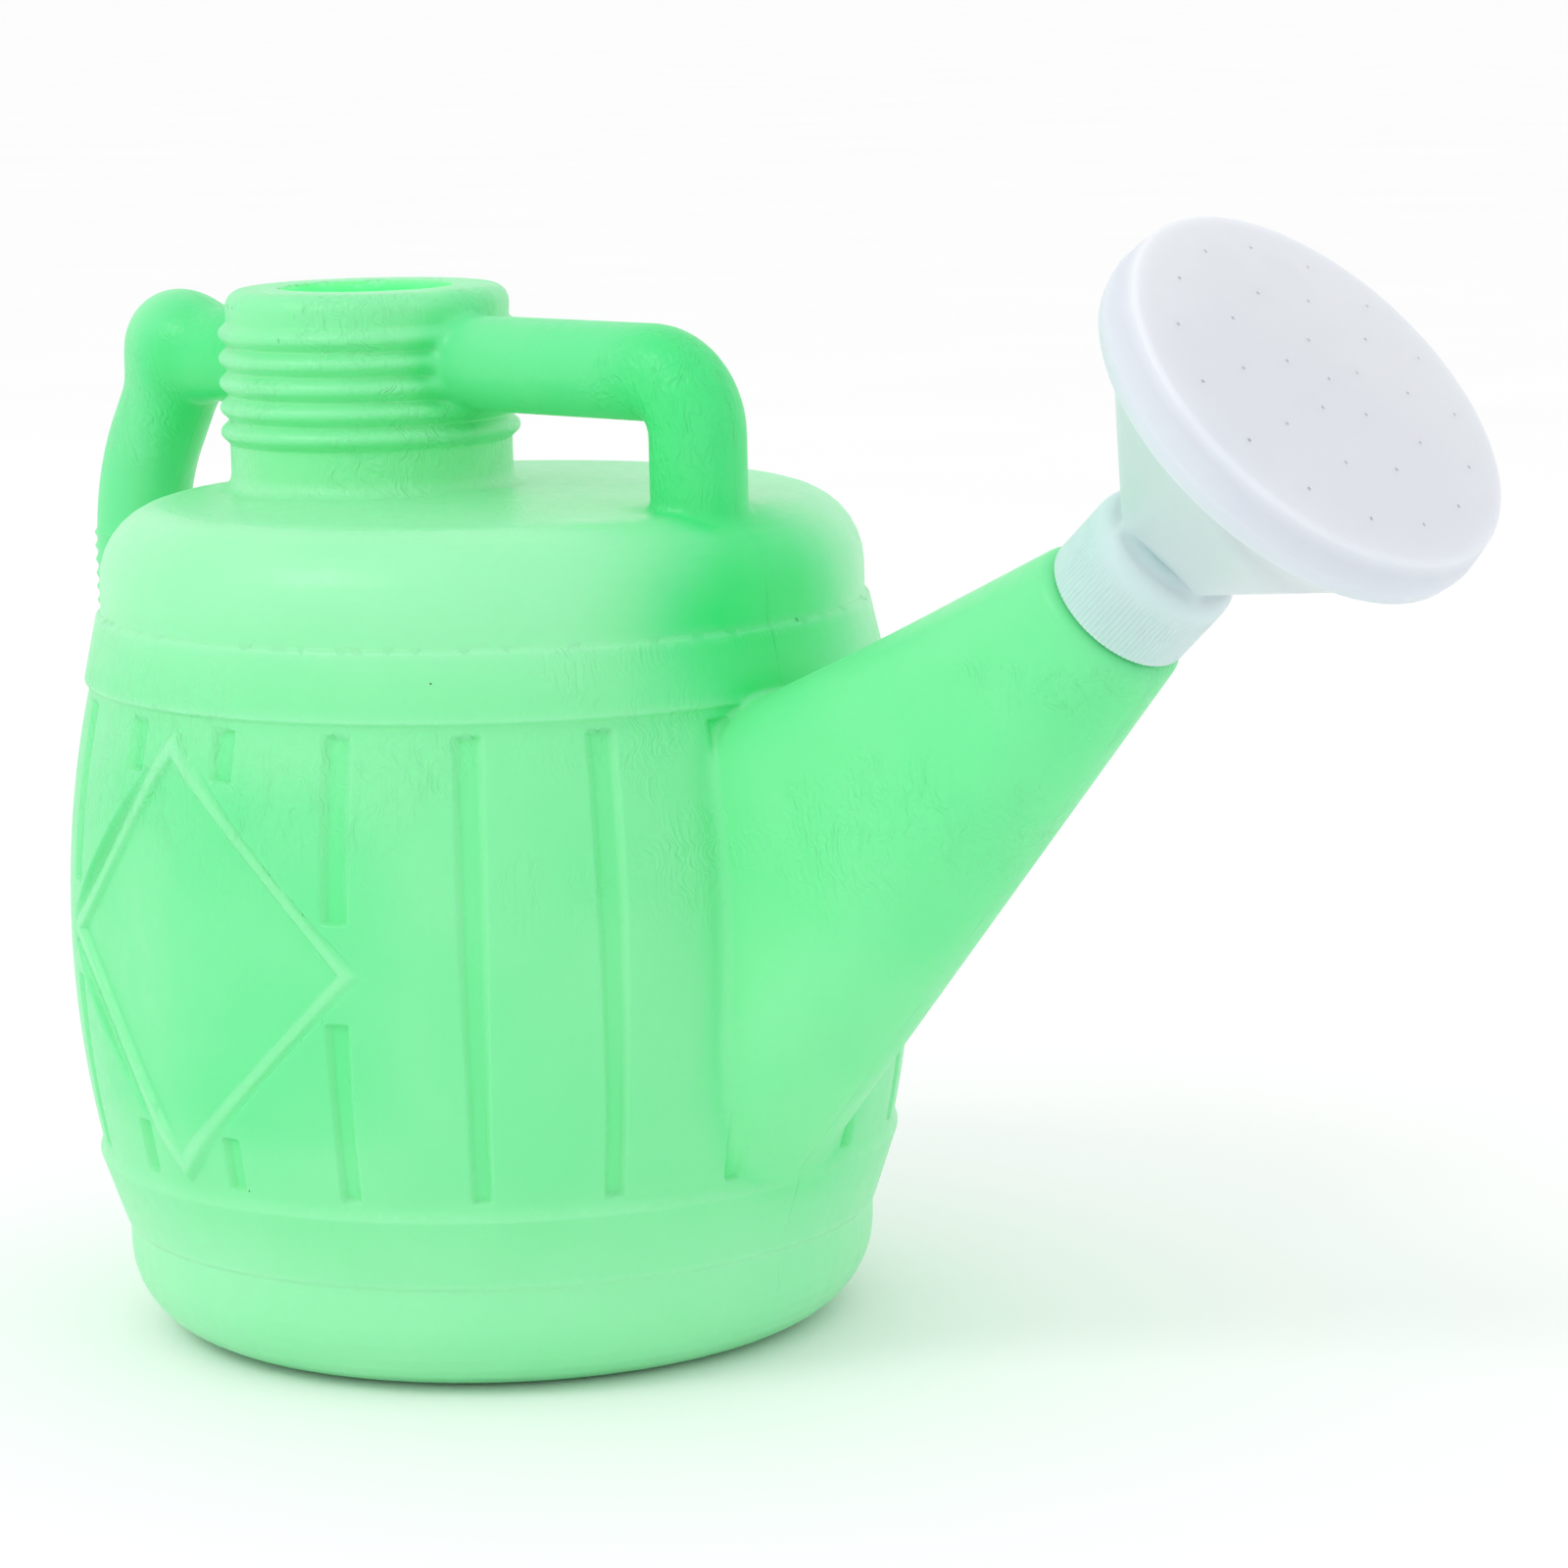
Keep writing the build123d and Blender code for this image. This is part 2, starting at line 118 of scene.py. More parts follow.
SPOUT_ANGLE = math.radians(42.5)
MOUTH = (179.8, 173.3)
MOUTH_R = 16.5
MOUTH_ROUNDING = 3.2
SPOUT_TOP_SLOPE = math.radians(25.4)
SPOUT_LOW_SLOPE = math.radians(49.3)
SPOUT_ROOT = (88, 90)
SPOUT_ROOT_HALF = 23.4
SPOUT_ROUNDNESS = 0.98
SPOUT_SQUARER = 0.43
SPOUT_START = 68.0
NOZZLE_BORE = 10.2

NECK_FILLET = 4
HANDLE_FILLET = 2.6
REAR_FILLET = 3.0
KNUCKLE_FILLET = 6
SPOUT_FILLET = 2.6
INNER_NECK_FILLET = 3
INNER_SPOUT_FILLET = 4
LIP_FILLET = 0.8

# ---- the rose: heights are along its axis, from the collar's foot -------------------------------
COLLAR_GAP = 0.8
COLLAR_R = 16.3
COLLAR_BORE_R = 14.0
COLLAR_CEILING = 18.6
COLLAR_TOP = 20.0
COLLAR_EDGE = 0.3
RIB_COUNT = 100
RIB_DEPTH = 0.24
RIB_FADE = 3.5
RIB_END = 14.5
SHOULDER_NECK_R = 9.8
FUNNEL_HALF = 10.5
FUNNEL_CORNER = 1.6
FUNNEL_TURN = math.radians(22.0)
FUNNEL_START = COLLAR_TOP + 0.8
FUNNEL_MOUTH_R = 40.2
FUNNEL_LIP_R = 42.3
FUNNEL_LIP_START = 57.6
FUNNEL_FLARE_END = 54.6
FUNNEL_LIP_END = 61.6
FUNNEL_WALL = 1.6
FUNNEL_EDGE = 0.4
THROAT_R = 7.5
FACE_R = 45.15
FACE_SKIRT_R = 44.4
FACE_SHOULDER_R = 43.9
FACE_BACK = 55.6
FACE_FRONT = 67.6
FACE_CROWN = 2.4
FACE_WALL = 1.6
FACE_FLAT_R = 30
FACE_MIDDLE_R = 0.8
FACE_COLUMNS = 192
HOLE_R = 0.42
HOLE_SIDES = 12
HOLE_RINGS = ((0.0, 1, 0), (10.0, 5, 147), (22.5, 10, 94), (35.0, 15, 125))

# ---- how the skin is meshed: grid steps and limits in millimetres -------------------------------
GRID_STEP = 1.6
GRID_LOW = (-130, 0, -4)
GRID_HIGH = (198, 99, 236)
INNER_SHARE = 0.62
# the turn across an edge, in degrees, and the shortest edge, in grid steps, of each refinement
REFINEMENTS = ((13, 0.45), (14, 0.3), (18, 0.2))

# ---- how deep the green is, from 0 for pale to 1 for deep: thin and thick plastic, painted light and painted shade ---
# painted floor light pales the foot; painted highlights pale the shoulder, the panels' rims, the
# groove walls and the hoop edges; painted shade deepens the groove floors, the spout's root and the
# corner by the front leg
TINT_FOOT_PAINTED_FLOOR_LIGHT = 0.14
TINT_STAVES = 0.33
TINT_SHOULDER_HIGHLIGHT = -0.38
TINT_NECK = 0.28
TINT_PANEL = 0.16
TINT_PANEL_RIM_HIGHLIGHT = -0.3
TINT_GROOVE_SHADE = 0.1
TINT_GROOVE_WALL_HIGHLIGHT = -0.7
TINT_HANDLE_FRONT = 0.72
TINT_HANDLE_REAR = 0.68
TINT_HANDLE_BEND = 0.2
TINT_SPOUT_LOW = 0.46
TINT_SPOUT_RISE = 0.14
TINT_SPOUT_ROOT_SHADE = 0.2
TINT_HOOP_EDGE_HIGHLIGHT = -0.2
# heights of the painted highlight lines along the hoops' edges
HOOP_EDGES = (162.3, 147.9, 42.2, 25.4)
# the centre of the painted shade, the deepest green, in the corner between the front handle's leg and
# the spout, as (x, z)
DEEPEST_SHADE = (80, 166)


# ---- distance fields ----------------------------------------------------------------------------
def smoothstep(low, high, value):
    t = np.clip((value - low) / (high - low), 0, 1)
    return t * t * (3 - 2 * t)


def smooth_min(a, b, size):
    h = np.maximum(size - np.abs(a - b), 0) / size
    return np.minimum(a, b) - h * h * size / 4


def smooth_max(a, b, size):
    return -smooth_min(-a, -b, size)


def rounded(corners, segments=8):
    """A polyline through the corners (x, y, fillet radius), each fillet as a short arc."""
    out = []
    for index, (x, y, radius) in enumerate(corners):
        here = np.array((x, y), float)
        if radius == 0:
            out.append(here)
            continue
        before = np.array(corners[index - 1][:2], float) - here
        after = np.array(corners[(index + 1) % len(corners)][:2], float) - here
        before /= np.linalg.norm(before)
        after /= np.linalg.norm(after)
        half = math.acos(np.clip(before @ after, -1, 1)) / 2
        reach = radius / math.tan(half)
        middle = (before + after) / np.linalg.norm(before + after)
        centre = here + middle * radius / math.sin(half)
        start = here + before * reach - centre
        sweep = math.pi - 2 * half
        turn = 1 if before[0] * after[1] - before[1] * after[0] < 0 else -1
        for step in range(segments + 1):
            angle = turn * sweep * step / segments
            c, s = math.cos(angle), math.sin(angle)
            out.append(centre + (c * start[0] - s * start[1], s * start[0] + c * start[1]))
    return np.array(out)


def arc_through(a, b, c, count=28):
    """Points on the circle's arc from a through b to c, without its two ends."""
    a, b, c = (complex(*p) for p in (a, b, c))
    w = (c - a) / (b - a)
    centre = (b - a) * (w - abs(w) ** 2) / (2j * w.imag) + a
    first = a - centre
    total = np.angle((c - centre) / first)
    points = [centre + first * np.exp(1j * total * k / count) for k in range(1, count)]
    return [(p.real, p.imag, 0) for p in points]


def line_distance(points, x, y, closed):
    """Distance to a polyline and the length along it to the nearest point."""
    best = np.full(x.shape, 1e9)
    along = np.zeros(x.shape)
    done = 0.0
    ends = np.roll(points, -1, axis=0) if closed else points[1:]
    for (ax, ay), (bx, by) in zip(points, ends):
        dx, dy = bx - ax, by - ay
        size = math.hypot(dx, dy)
        if size < 1e-9:
            continue
        t = np.clip(((x - ax) * dx + (y - ay) * dy) / size ** 2, 0, 1)
        gap = np.hypot(x - ax - t * dx, y - ay - t * dy)
        near = gap < best
        best = np.where(near, gap, best)
        along = np.where(near, done + t * size, along)
        done += size
    return best, along


def signed_distance(points, x, y):
    """Distance to a closed outline, negative inside it."""
    inside = np.zeros(x.shape, bool)
    for (ax, ay), (bx, by) in zip(points, np.roll(points, -1, axis=0)):
        spans = (ay > y) != (by > y)
        if ay != by:
            inside ^= spans & (x < ax + (y - ay) * (bx - ax) / (by - ay))
    gap = line_distance(points, x, y, True)[0]
    return np.where(inside, -gap, gap)


class Table:
    """A function of two coordinates, sampled once and read back by interpolation."""

    def __init__(self, low, high, function, step=0.4):
        self.low = low
        self.step = step
        x, y = (np.arange(a, b + step, step) for a, b in zip(low, high))
        self.values = function(*np.meshgrid(x, y, indexing="ij"))

    def __call__(self, x, y):
        u, v = (x - self.low[0]) / self.step, (y - self.low[1]) / self.step
        near_u = np.clip(u, 0, self.values.shape[0] - 1.001)
        near_v = np.clip(v, 0, self.values.shape[1] - 1.001)
        beyond = np.hypot(u - near_u, v - near_v) * self.step
        i, j = near_u.astype(int), near_v.astype(int)
        u, v = near_u - i, near_v - j
        t = self.values
        low = t[i, j] * (1 - u) + t[i + 1, j] * u
        high = t[i, j + 1] * (1 - u) + t[i + 1, j + 1] * u
        return low * (1 - v) + high * v + beyond


def tank_outline():
    """Half section of the barrel: foot, lower hoop, staves, upper hoop and domed shoulder."""
    corners = [(PAST_AXIS, 0, 0), (FOOT_R - 0.1, 0, FOOT_ROUNDING),
               (FOOT_R, LOW_HOOP_BOTTOM[1] - 0.7, 0.5), (*LOW_HOOP_BOTTOM, 0.6),
               (*LOW_HOOP_TOP, 0.9), (STAVE_BOTTOM[0] + 0.2, LOW_HOOP_TOP[1] + 1.5, 0.6),
               (*STAVE_BOTTOM, 0)]
    corners += arc_through(STAVE_BOTTOM, STAVE_MIDDLE, STAVE_TOP)
    corners += [(*STAVE_TOP, 0), (STAVE_TOP[0], HIGH_HOOP_BOTTOM[1] - 0.7, 0.4),
                (*HIGH_HOOP_BOTTOM, 0.5), (*HIGH_HOOP_TOP, 0.45),
                (SHOULDER_R, HIGH_HOOP_TOP[1] + 0.7, 0.5),
                (SHOULDER_R, TANK_TOP, SHOULDER_ROUNDING), (PAST_AXIS, TANK_TOP, 0)]
    return rounded(corners)


def neck_outline():
    """Half section of the filler neck with its rings and rolled rim."""
    foot_z = TANK_TOP - 20
    corners = [(PAST_AXIS, foot_z, 0), (NECK_R, foot_z, 0)]
    for ring in range(RING_COUNT):
        z = RING_FIRST + ring * RING_PITCH
        corners += [(NECK_R, z - RING_HALF, 0.4), (RING_R, z, RING_ROUNDING),
                    (NECK_R, z + RING_HALF, 0.4)]
    corners += [(RIM_R, NECK_TOP, RIM_ROUNDING), (FILLER_R + 4, NECK_TOP, 0),
                (PAST_AXIS, NECK_TOP, 0)]
    return rounded(corners)


def path_points(corners):
    return rounded(corners, segments=16)


# the corners of the handles' centre lines are (x, z, bend radius)
front_path = path_points([(NECK_X + 20, FRONT_Z, 0), (FRONT_X, FRONT_Z, FRONT_BEND),
                          (FRONT_X, TANK_TOP - 12, 0)])
rear_path = path_points([(NECK_X - 22, REAR_Z, 0), (REAR_ELBOW_X, REAR_Z, 14),
                         (GRIP_X, GRIP_TOP_Z, 55), (GRIP_X, GRIP_LOW_Z, 25), (-86.0, 96.0, 0)])
tank_section = Table((0, -6), (104, 240), lambda r, z: signed_distance(tank_outline(), r, z))
neck_section = Table((0, 160), (44, 240), lambda r, z: signed_distance(neck_outline(), r, z), 0.25)
front_gap = Table((-20, 165), (85, 235), lambda x, z: line_distance(front_path, x, z, False)[0])
rear_gap = Table((-135, 75), (-50, 240), lambda x, z: line_distance(rear_path, x, z, False)[0])


def groove_share(x, y, z):
    """1 on a groove's floor, 0 on the staves, and between them on the groove's walls."""
    angle = np.degrees(np.arctan2(np.abs(y), x))
    number = np.clip(np.round((angle - GROOVE_FIRST) / GROOVE_STEP), 0, 9)
    middle = np.radians(GROOVE_FIRST + number * GROOVE_STEP)
    across = np.abs(np.radians(angle) - middle) * np.hypot(x, y)
    share = np.clip((z - STAVE_BOTTOM[1]) / (STAVE_TOP[1] - STAVE_BOTTOM[1]), 0, 1)
    half = GROOVE_HALF_LOW + (GROOVE_HALF_TOP - GROOVE_HALF_LOW) * smoothstep(0.1, 0.7, share)
    groove = 1 - smoothstep(GROOVE_FLOOR, 1, across / half)
    groove *= smoothstep(STAVE_BOTTOM[1] + 0.2, STAVE_BOTTOM[1] + 1.6, z)
    groove *= 1 - smoothstep(STAVE_TOP[1] - 1.4, STAVE_TOP[1] - 0.2, z)
    inner_s = np.maximum(np.abs(np.cos(middle - PANEL_ANGLE + math.pi / 2)) * BARREL_R - half, 0)
    stop = PANEL_HALF_HEIGHT * np.maximum(1 - inner_s / PANEL_HALF_WIDTH, -1)
    return groove * smoothstep(GROOVE_END - 0.5, GROOVE_END + 0.5, np.abs(z - PANEL_Z) - stop)


def panel_place(x, y, z):
    """Depth towards a panel, place across and up it, and distance outside its diamond outline."""
    side_x, side_y = math.cos(PANEL_ANGLE), math.sin(PANEL_ANGLE)
    depth = x * side_x + np.abs(y) * side_y
    s = x * side_y - np.abs(y) * side_x
    up = z - PANEL_Z
    slope = math.hypot(PANEL_HALF_WIDTH, PANEL_HALF_HEIGHT)
    edge = np.abs(s) / PANEL_HALF_WIDTH + np.abs(up) / PANEL_HALF_HEIGHT - 1
    return depth, s, up, edge * PANEL_HALF_WIDTH * PANEL_HALF_HEIGHT / slope


def barrel_field(x, y, z, grooves=1):
    """The barrel with its grooves and the two diamond panels."""
    body = tank_section(np.hypot(x, y), z) + GROOVE_DEPTH * groove_share(x, y, z) * grooves
    depth, s, up, edge = panel_place(x, y, z)
    soft = np.sqrt(s * s + PANEL_CREST ** 2) - PANEL_CREST
    fall = PANEL_FALL * (soft / PANEL_HALF_WIDTH) ** PANEL_FALL_POWER
    face = PANEL_REACH - PANEL_LEAN * up - fall
    face = face + PANEL_RISE * smoothstep(-PANEL_BORDER - 0.8, -PANEL_BORDER + 1.0, edge)
    face = face - PANEL_RISE * 0.8 * smoothstep(-1.6, 0.4, edge)
    outside = smoothstep(-0.9, 1.1, edge)
    outside = np.where(depth > PANEL_NEAR, outside, 1)
    panel = smooth_max(depth - face, body - PANEL_PROUD, LIP_FILLET)
    return panel * (1 - outside) + body * outside


def spout_place(x, z):
    """How far a point lies ahead of the spout's mouth, and how far above the mouth's axis."""
    x, z = x - MOUTH[0], z - MOUTH[1]
    ahead = x * math.cos(SPOUT_ANGLE) + z * math.sin(SPOUT_ANGLE)
    return ahead, z * math.cos(SPOUT_ANGLE) - x * math.sin(SPOUT_ANGLE)


def spout_field(x, y, z, inset):
    """A tapering slot about the bisector of the spout's two straight edges, rounded less on top."""
    turn = (SPOUT_TOP_SLOPE + SPOUT_LOW_SLOPE) / 2
    spread = (SPOUT_LOW_SLOPE - SPOUT_TOP_SLOPE) / 2
    up_x, up_z = -math.sin(SPOUT_ANGLE), math.cos(SPOUT_ANGLE)
    top = (MOUTH[0] + up_x * MOUTH_R, MOUTH[1] + up_z * MOUTH_R)
    low = (MOUTH[0] - up_x * MOUTH_R, MOUTH[1] - up_z * MOUTH_R)
    rise, fall = math.tan(SPOUT_TOP_SLOPE), math.tan(SPOUT_LOW_SLOPE)
    apex_x = (top[1] - low[1] - rise * top[0] + fall * low[0]) / (fall - rise)
    apex_z = top[1] + rise * (apex_x - top[0])
    back_x, back_z = apex_x - x, apex_z - z
    t = back_x * math.cos(turn) + back_z * math.sin(turn)
    e = back_x * math.sin(turn) - back_z * math.cos(turn)
    first = math.hypot(apex_x - MOUTH[0], apex_z - MOUTH[1])
    root = math.hypot(apex_x - SPOUT_ROOT[0], apex_z - SPOUT_ROOT[1])
    share = np.clip((t - first) / (root - first), 0, 1.4)
    wide = MOUTH_R + (SPOUT_ROOT_HALF - MOUTH_R) * share - inset
    tall = t * math.tan(spread) - inset
    squarer = SPOUT_SQUARER * smoothstep(0.35, 0.95, share) * (e > 0)
    corner = np.minimum(wide, tall) * (SPOUT_ROUNDNESS - squarer)
    qe = (np.abs(e) - tall + corner) * math.cos(spread)
    qy = np.abs(y) - wide + corner
    side = np.hypot(np.maximum(qe, 0), np.maximum(qy, 0)) + np.minimum(np.maximum(qe, qy), 0)
    side = side - corner
    end = spout_place(x, z)[0] + (MOUTH_ROUNDING if inset else 0)
    rounding = LIP_FILLET if inset else MOUTH_ROUNDING
    inner = np.maximum(side + rounding, 0)
    outer = np.maximum(end + rounding, 0)
    capped = np.hypot(inner, outer) - rounding
    side = np.where((side > -rounding) & (end > -rounding), capped, np.maximum(side, end))
    return np.maximum(side, SPOUT_START - x)


def rear_field(x, y, z):
    """The rear handle with its knuckle and grip rings."""
    reach = np.hypot(rear_gap(x, z), y)
    ring = (GRIP_RING_FIRST - z) / GRIP_RING_PITCH
    wave = 0.5 + 0.5 * np.cos(2 * np.pi * ring)
    last = GRIP_RING_COUNT - 1
    span = smoothstep(-0.5, 0, ring) * (1 - smoothstep(last, last + 0.5, ring))
    grip = GRIP_RING_RISE * wave ** 1.6 * span * (x < -95)
    tube = reach - REAR_TUBE_R - grip
    knuckle = np.sqrt((x - KNUCKLE[0]) ** 2 + y * y + (z - KNUCKLE[1]) ** 2) - KNUCKLE_R
    return smooth_min(tube, knuckle, KNUCKLE_FILLET)


def skin_field(points):
    """Distance to the tank's outside."""
    x, y, z = points[..., 0], points[..., 1], points[..., 2]
    field = barrel_field(x, y, z)
    neck = neck_section(np.hypot(x - NECK_X, y), z)
    field = smooth_min(field, neck, NECK_FILLET)
    field = smooth_min(field, np.hypot(front_gap(x, z), y) - FRONT_TUBE_R, HANDLE_FILLET)
    field = smooth_min(field, rear_field(x, y, z), REAR_FILLET)
    return smooth_min(field, spout_field(x, y, z, 0), SPOUT_FILLET)


def hollow_field(points, wall):
    """Distance to the tank's inside, smooth behind the grooves, with the filler hole and bore."""
    x, y, z = points[..., 0], points[..., 1], points[..., 2]
    field = barrel_field(x, y, z, 0) + wall + GROOVE_DEPTH
    from_neck = np.hypot(x - NECK_X, y)
    neck = np.maximum(from_neck - NECK_R + wall, z - NECK_TOP + wall)
    neck = np.maximum(neck, TANK_TOP - 12 - z)
    field = smooth_min(field, neck, INNER_NECK_FILLET)
    hole = np.maximum(from_neck - FILLER_R, NECK_TOP - 8 - z)
    field = np.minimum(field, hole)
    field = smooth_min(field, spout_field(x, y, z, wall), INNER_SPOUT_FILLET)
    ahead, aside = spout_place(x, z)
    bore = np.maximum(np.hypot(aside, y) - NOZZLE_BORE, -8 - ahead)
    return np.minimum(field, bore)


def tank_field(points, wall=WALL):
    return smooth_max(skin_field(points), -hollow_field(points, wall), LIP_FILLET)


def thick_tank_field(points):
    """The same tank with a wall thick enough for a coarse grid to find both its sides."""
    return tank_field(points, THICK_WALL)


# ---- from a field to a mesh ---------------------------------------------------------------------
def surface_net(values, low, step):
    """Vertices and quads of the surface where the sampled field is zero."""
    inside = values < 0
    cells = tuple(n - 1 for n in values.shape)
    offsets = [(i, j, k) for i in (0, 1) for j in (0, 1) for k in (0, 1)]
    count = np.zeros(cells, np.int8)
    for i, j, k in offsets:
        count += inside[i:i + cells[0], j:j + cells[1], k:k + cells[2]]
    active = (count > 0) & (count < 8)
    index = np.full(cells, -1, np.int64)
    where = np.argwhere(active)
    index[active] = np.arange(len(where))
    total = np.zeros((len(where), 3))
    crossings = np.zeros(len(where))
    for axis in range(3):
        for offset in offsets:
            if offset[axis]:
                continue
            far = list(offset)
            far[axis] = 1
            a = values[tuple((where + offset).T)]
            b = values[tuple((where + far).T)]
            cross = (a < 0) != (b < 0)
            t = a[cross] / (a[cross] - b[cross])
            place = np.tile(np.array(offset, float), (len(t), 1))
            place[:, axis] = t
            total[cross] += place
            crossings[cross] += 1
    vertices = low + step * (where + total / crossings[:, None])

    quads = []
    for axis in range(3):
        u, v = (axis + 1) % 3, (axis + 2) % 3
        first = [slice(None)] * 3
        second = [slice(None)] * 3
        first[axis], second[axis] = slice(None, -1), slice(1, None)
        change = inside[tuple(first)] != inside[tuple(second)]
        edges = np.argwhere(change)
        edges = edges[(edges[:, u] > 0) & (edges[:, v] > 0)
                      & (edges[:, u] < cells[u]) & (edges[:, v] < cells[v])]
        corners = []
        for du, dv in ((0, 0), (1, 0), (1, 1), (0, 1)):
            cell = edges.copy()
            cell[:, u] -= du
            cell[:, v] -= dv
            corners.append(index[tuple(cell.T)])
        face = np.stack(corners, axis=1)
        flip = ~inside[tuple(edges.T)]
        face[flip] = face[flip][:, ::-1]
        quads.append(face)
    return vertices, np.concatenate(quads)


def gradient(field, points, size=0.12):
    out = np.empty_like(points)
    for axis in range(3):
        step = np.zeros(3)
        step[axis] = size
        out[:, axis] = (field(points + step) - field(points - step)) / (2 * size)
    return out


def settle(field, points, rounds=3, limit=0.8):
    """Moves the points along the field's slope until they lie on its surface."""
    for _ in range(rounds):
        value = field(points)
        slope = gradient(field, points)
        size = np.maximum((slope ** 2).sum(axis=1), 0.2)
        move = slope * (value / size)[:, None]
        length = np.maximum(np.linalg.norm(move, axis=1), 1e-9)
        points = points - move * np.minimum(1, limit / length)[:, None]
    return points


def sample(field, low, high, step):
    """The field on a grid that is a mirror image about y = 0."""
    x, z = (np.arange(low[a], high[a] + step, step) for a in (0, 2))
    y = np.arange(step / 2, high[1] + step, step)
    half = np.empty((len(x), len(y), len(z)), np.float32)
    for start in range(0, len(x), 16):
        block = np.stack(np.meshgrid(x[start:start + 16], y, z, indexing="ij"), axis=-1)
        half[start:start + 16] = field(block)
    return np.concatenate((half[:, ::-1], half), axis=1), np.array((low[0], -y[-1], low[2]))


def coordinates(mesh):
    data = np.empty(len(mesh.vertices) * 3, np.float32)
    mesh.vertices.foreach_get("co", data)
    return data.reshape(-1, 3).astype(float)


def finer(mesh, field, angle, shortest):
    """Divides the edges across which the outside turns by more than the angle."""
    points = coordinates(mesh) / MM
    normals = gradient(field, points)
    normals /= np.linalg.norm(normals, axis=1)[:, None]
    outside = skin_field(points) > -WALL / 2
    ends = np.empty(len(mesh.edges) * 2, np.int32)
    mesh.edges.foreach_get("vertices", ends)
    a, b = ends.reshape(-1, 2).T
    turn = (normals[a] * normals[b]).sum(axis=1) < math.cos(math.radians(angle))
    length = np.linalg.norm(points[a] - points[b], axis=1)
    chosen = np.flatnonzero(turn & outside[a] & outside[b] & (length > shortest))
    bm = bmesh.new()
    bm.from_mesh(mesh)
    bm.edges.ensure_lookup_table()
    picked = [bm.edges[int(k)] for k in chosen]
    bmesh.ops.subdivide_edges(bm, edges=picked, cuts=1, use_grid_fill=True)
    bm.to_mesh(mesh)
    bm.free()
    points = settle(field, coordinates(mesh) / MM, rounds=2, limit=0.3)
    mesh.vertices.foreach_set("co", (points * MM).ravel())
    mesh.update()


def keep_modified(piece):
    """Makes the mesh with its modifiers applied the piece's own."""
    evaluated = piece.evaluated_get(bpy.context.evaluated_depsgraph_get())
    piece.data = bpy.data.meshes.new_from_object(evaluated)
    piece.modifiers.clear()


def make_tank():
    """The tank's whole skin, outside and inside, as one closed mesh."""
    step = GRID_STEP
    values, low = sample(thick_tank_field, GRID_LOW, GRID_HIGH, step)
    points, quads = surface_net(values, low, step)
    points = settle(tank_field, points, rounds=6)
    mesh = bpy.data.meshes.new("tank_skin")
    mesh.from_pydata((points * MM).tolist(), [], quads.tolist())
    tank = bpy.data.objects.new("tank_skin", mesh)
    bpy.context.collection.objects.link(tank)

    inner = tank.vertex_groups.new(name="inner")
    inner.add(np.flatnonzero(skin_field(points) < -WALL * 0.8).tolist(), 1.0, "REPLACE")
    thin = tank.modifiers.new("thin", "DECIMATE")
    thin.ratio = INNER_SHARE
    thin.vertex_group = "inner"
    keep_modified(tank)
    tank.vertex_groups.clear()
    mesh = tank.data
    mesh.name = "tank_skin"

    for angle, shortest in REFINEMENTS:
        finer(mesh, tank_field, angle, step * shortest)
    finish_mesh(mesh, tank_field)
    points = coordinates(mesh) / MM
    store(mesh, "tint", tank_tint_with_painted_light(points))
    # a painted glow on the inside of the wall, standing in for daylight through it
    store(mesh, "glow", 1 - smoothstep(-1.5, -0.5, skin_field(points)))
    return tank


def store(mesh, name, values):
    """Stores a number from 0 to 1 at each vertex: a tint, or the strength of the painted glow that
    stands in for light through the wall.
    """
    layer = mesh.attributes.new(name, "FLOAT", "POINT")
    layer.data.foreach_set("value", np.clip(values, 0, 1).astype(np.float32))


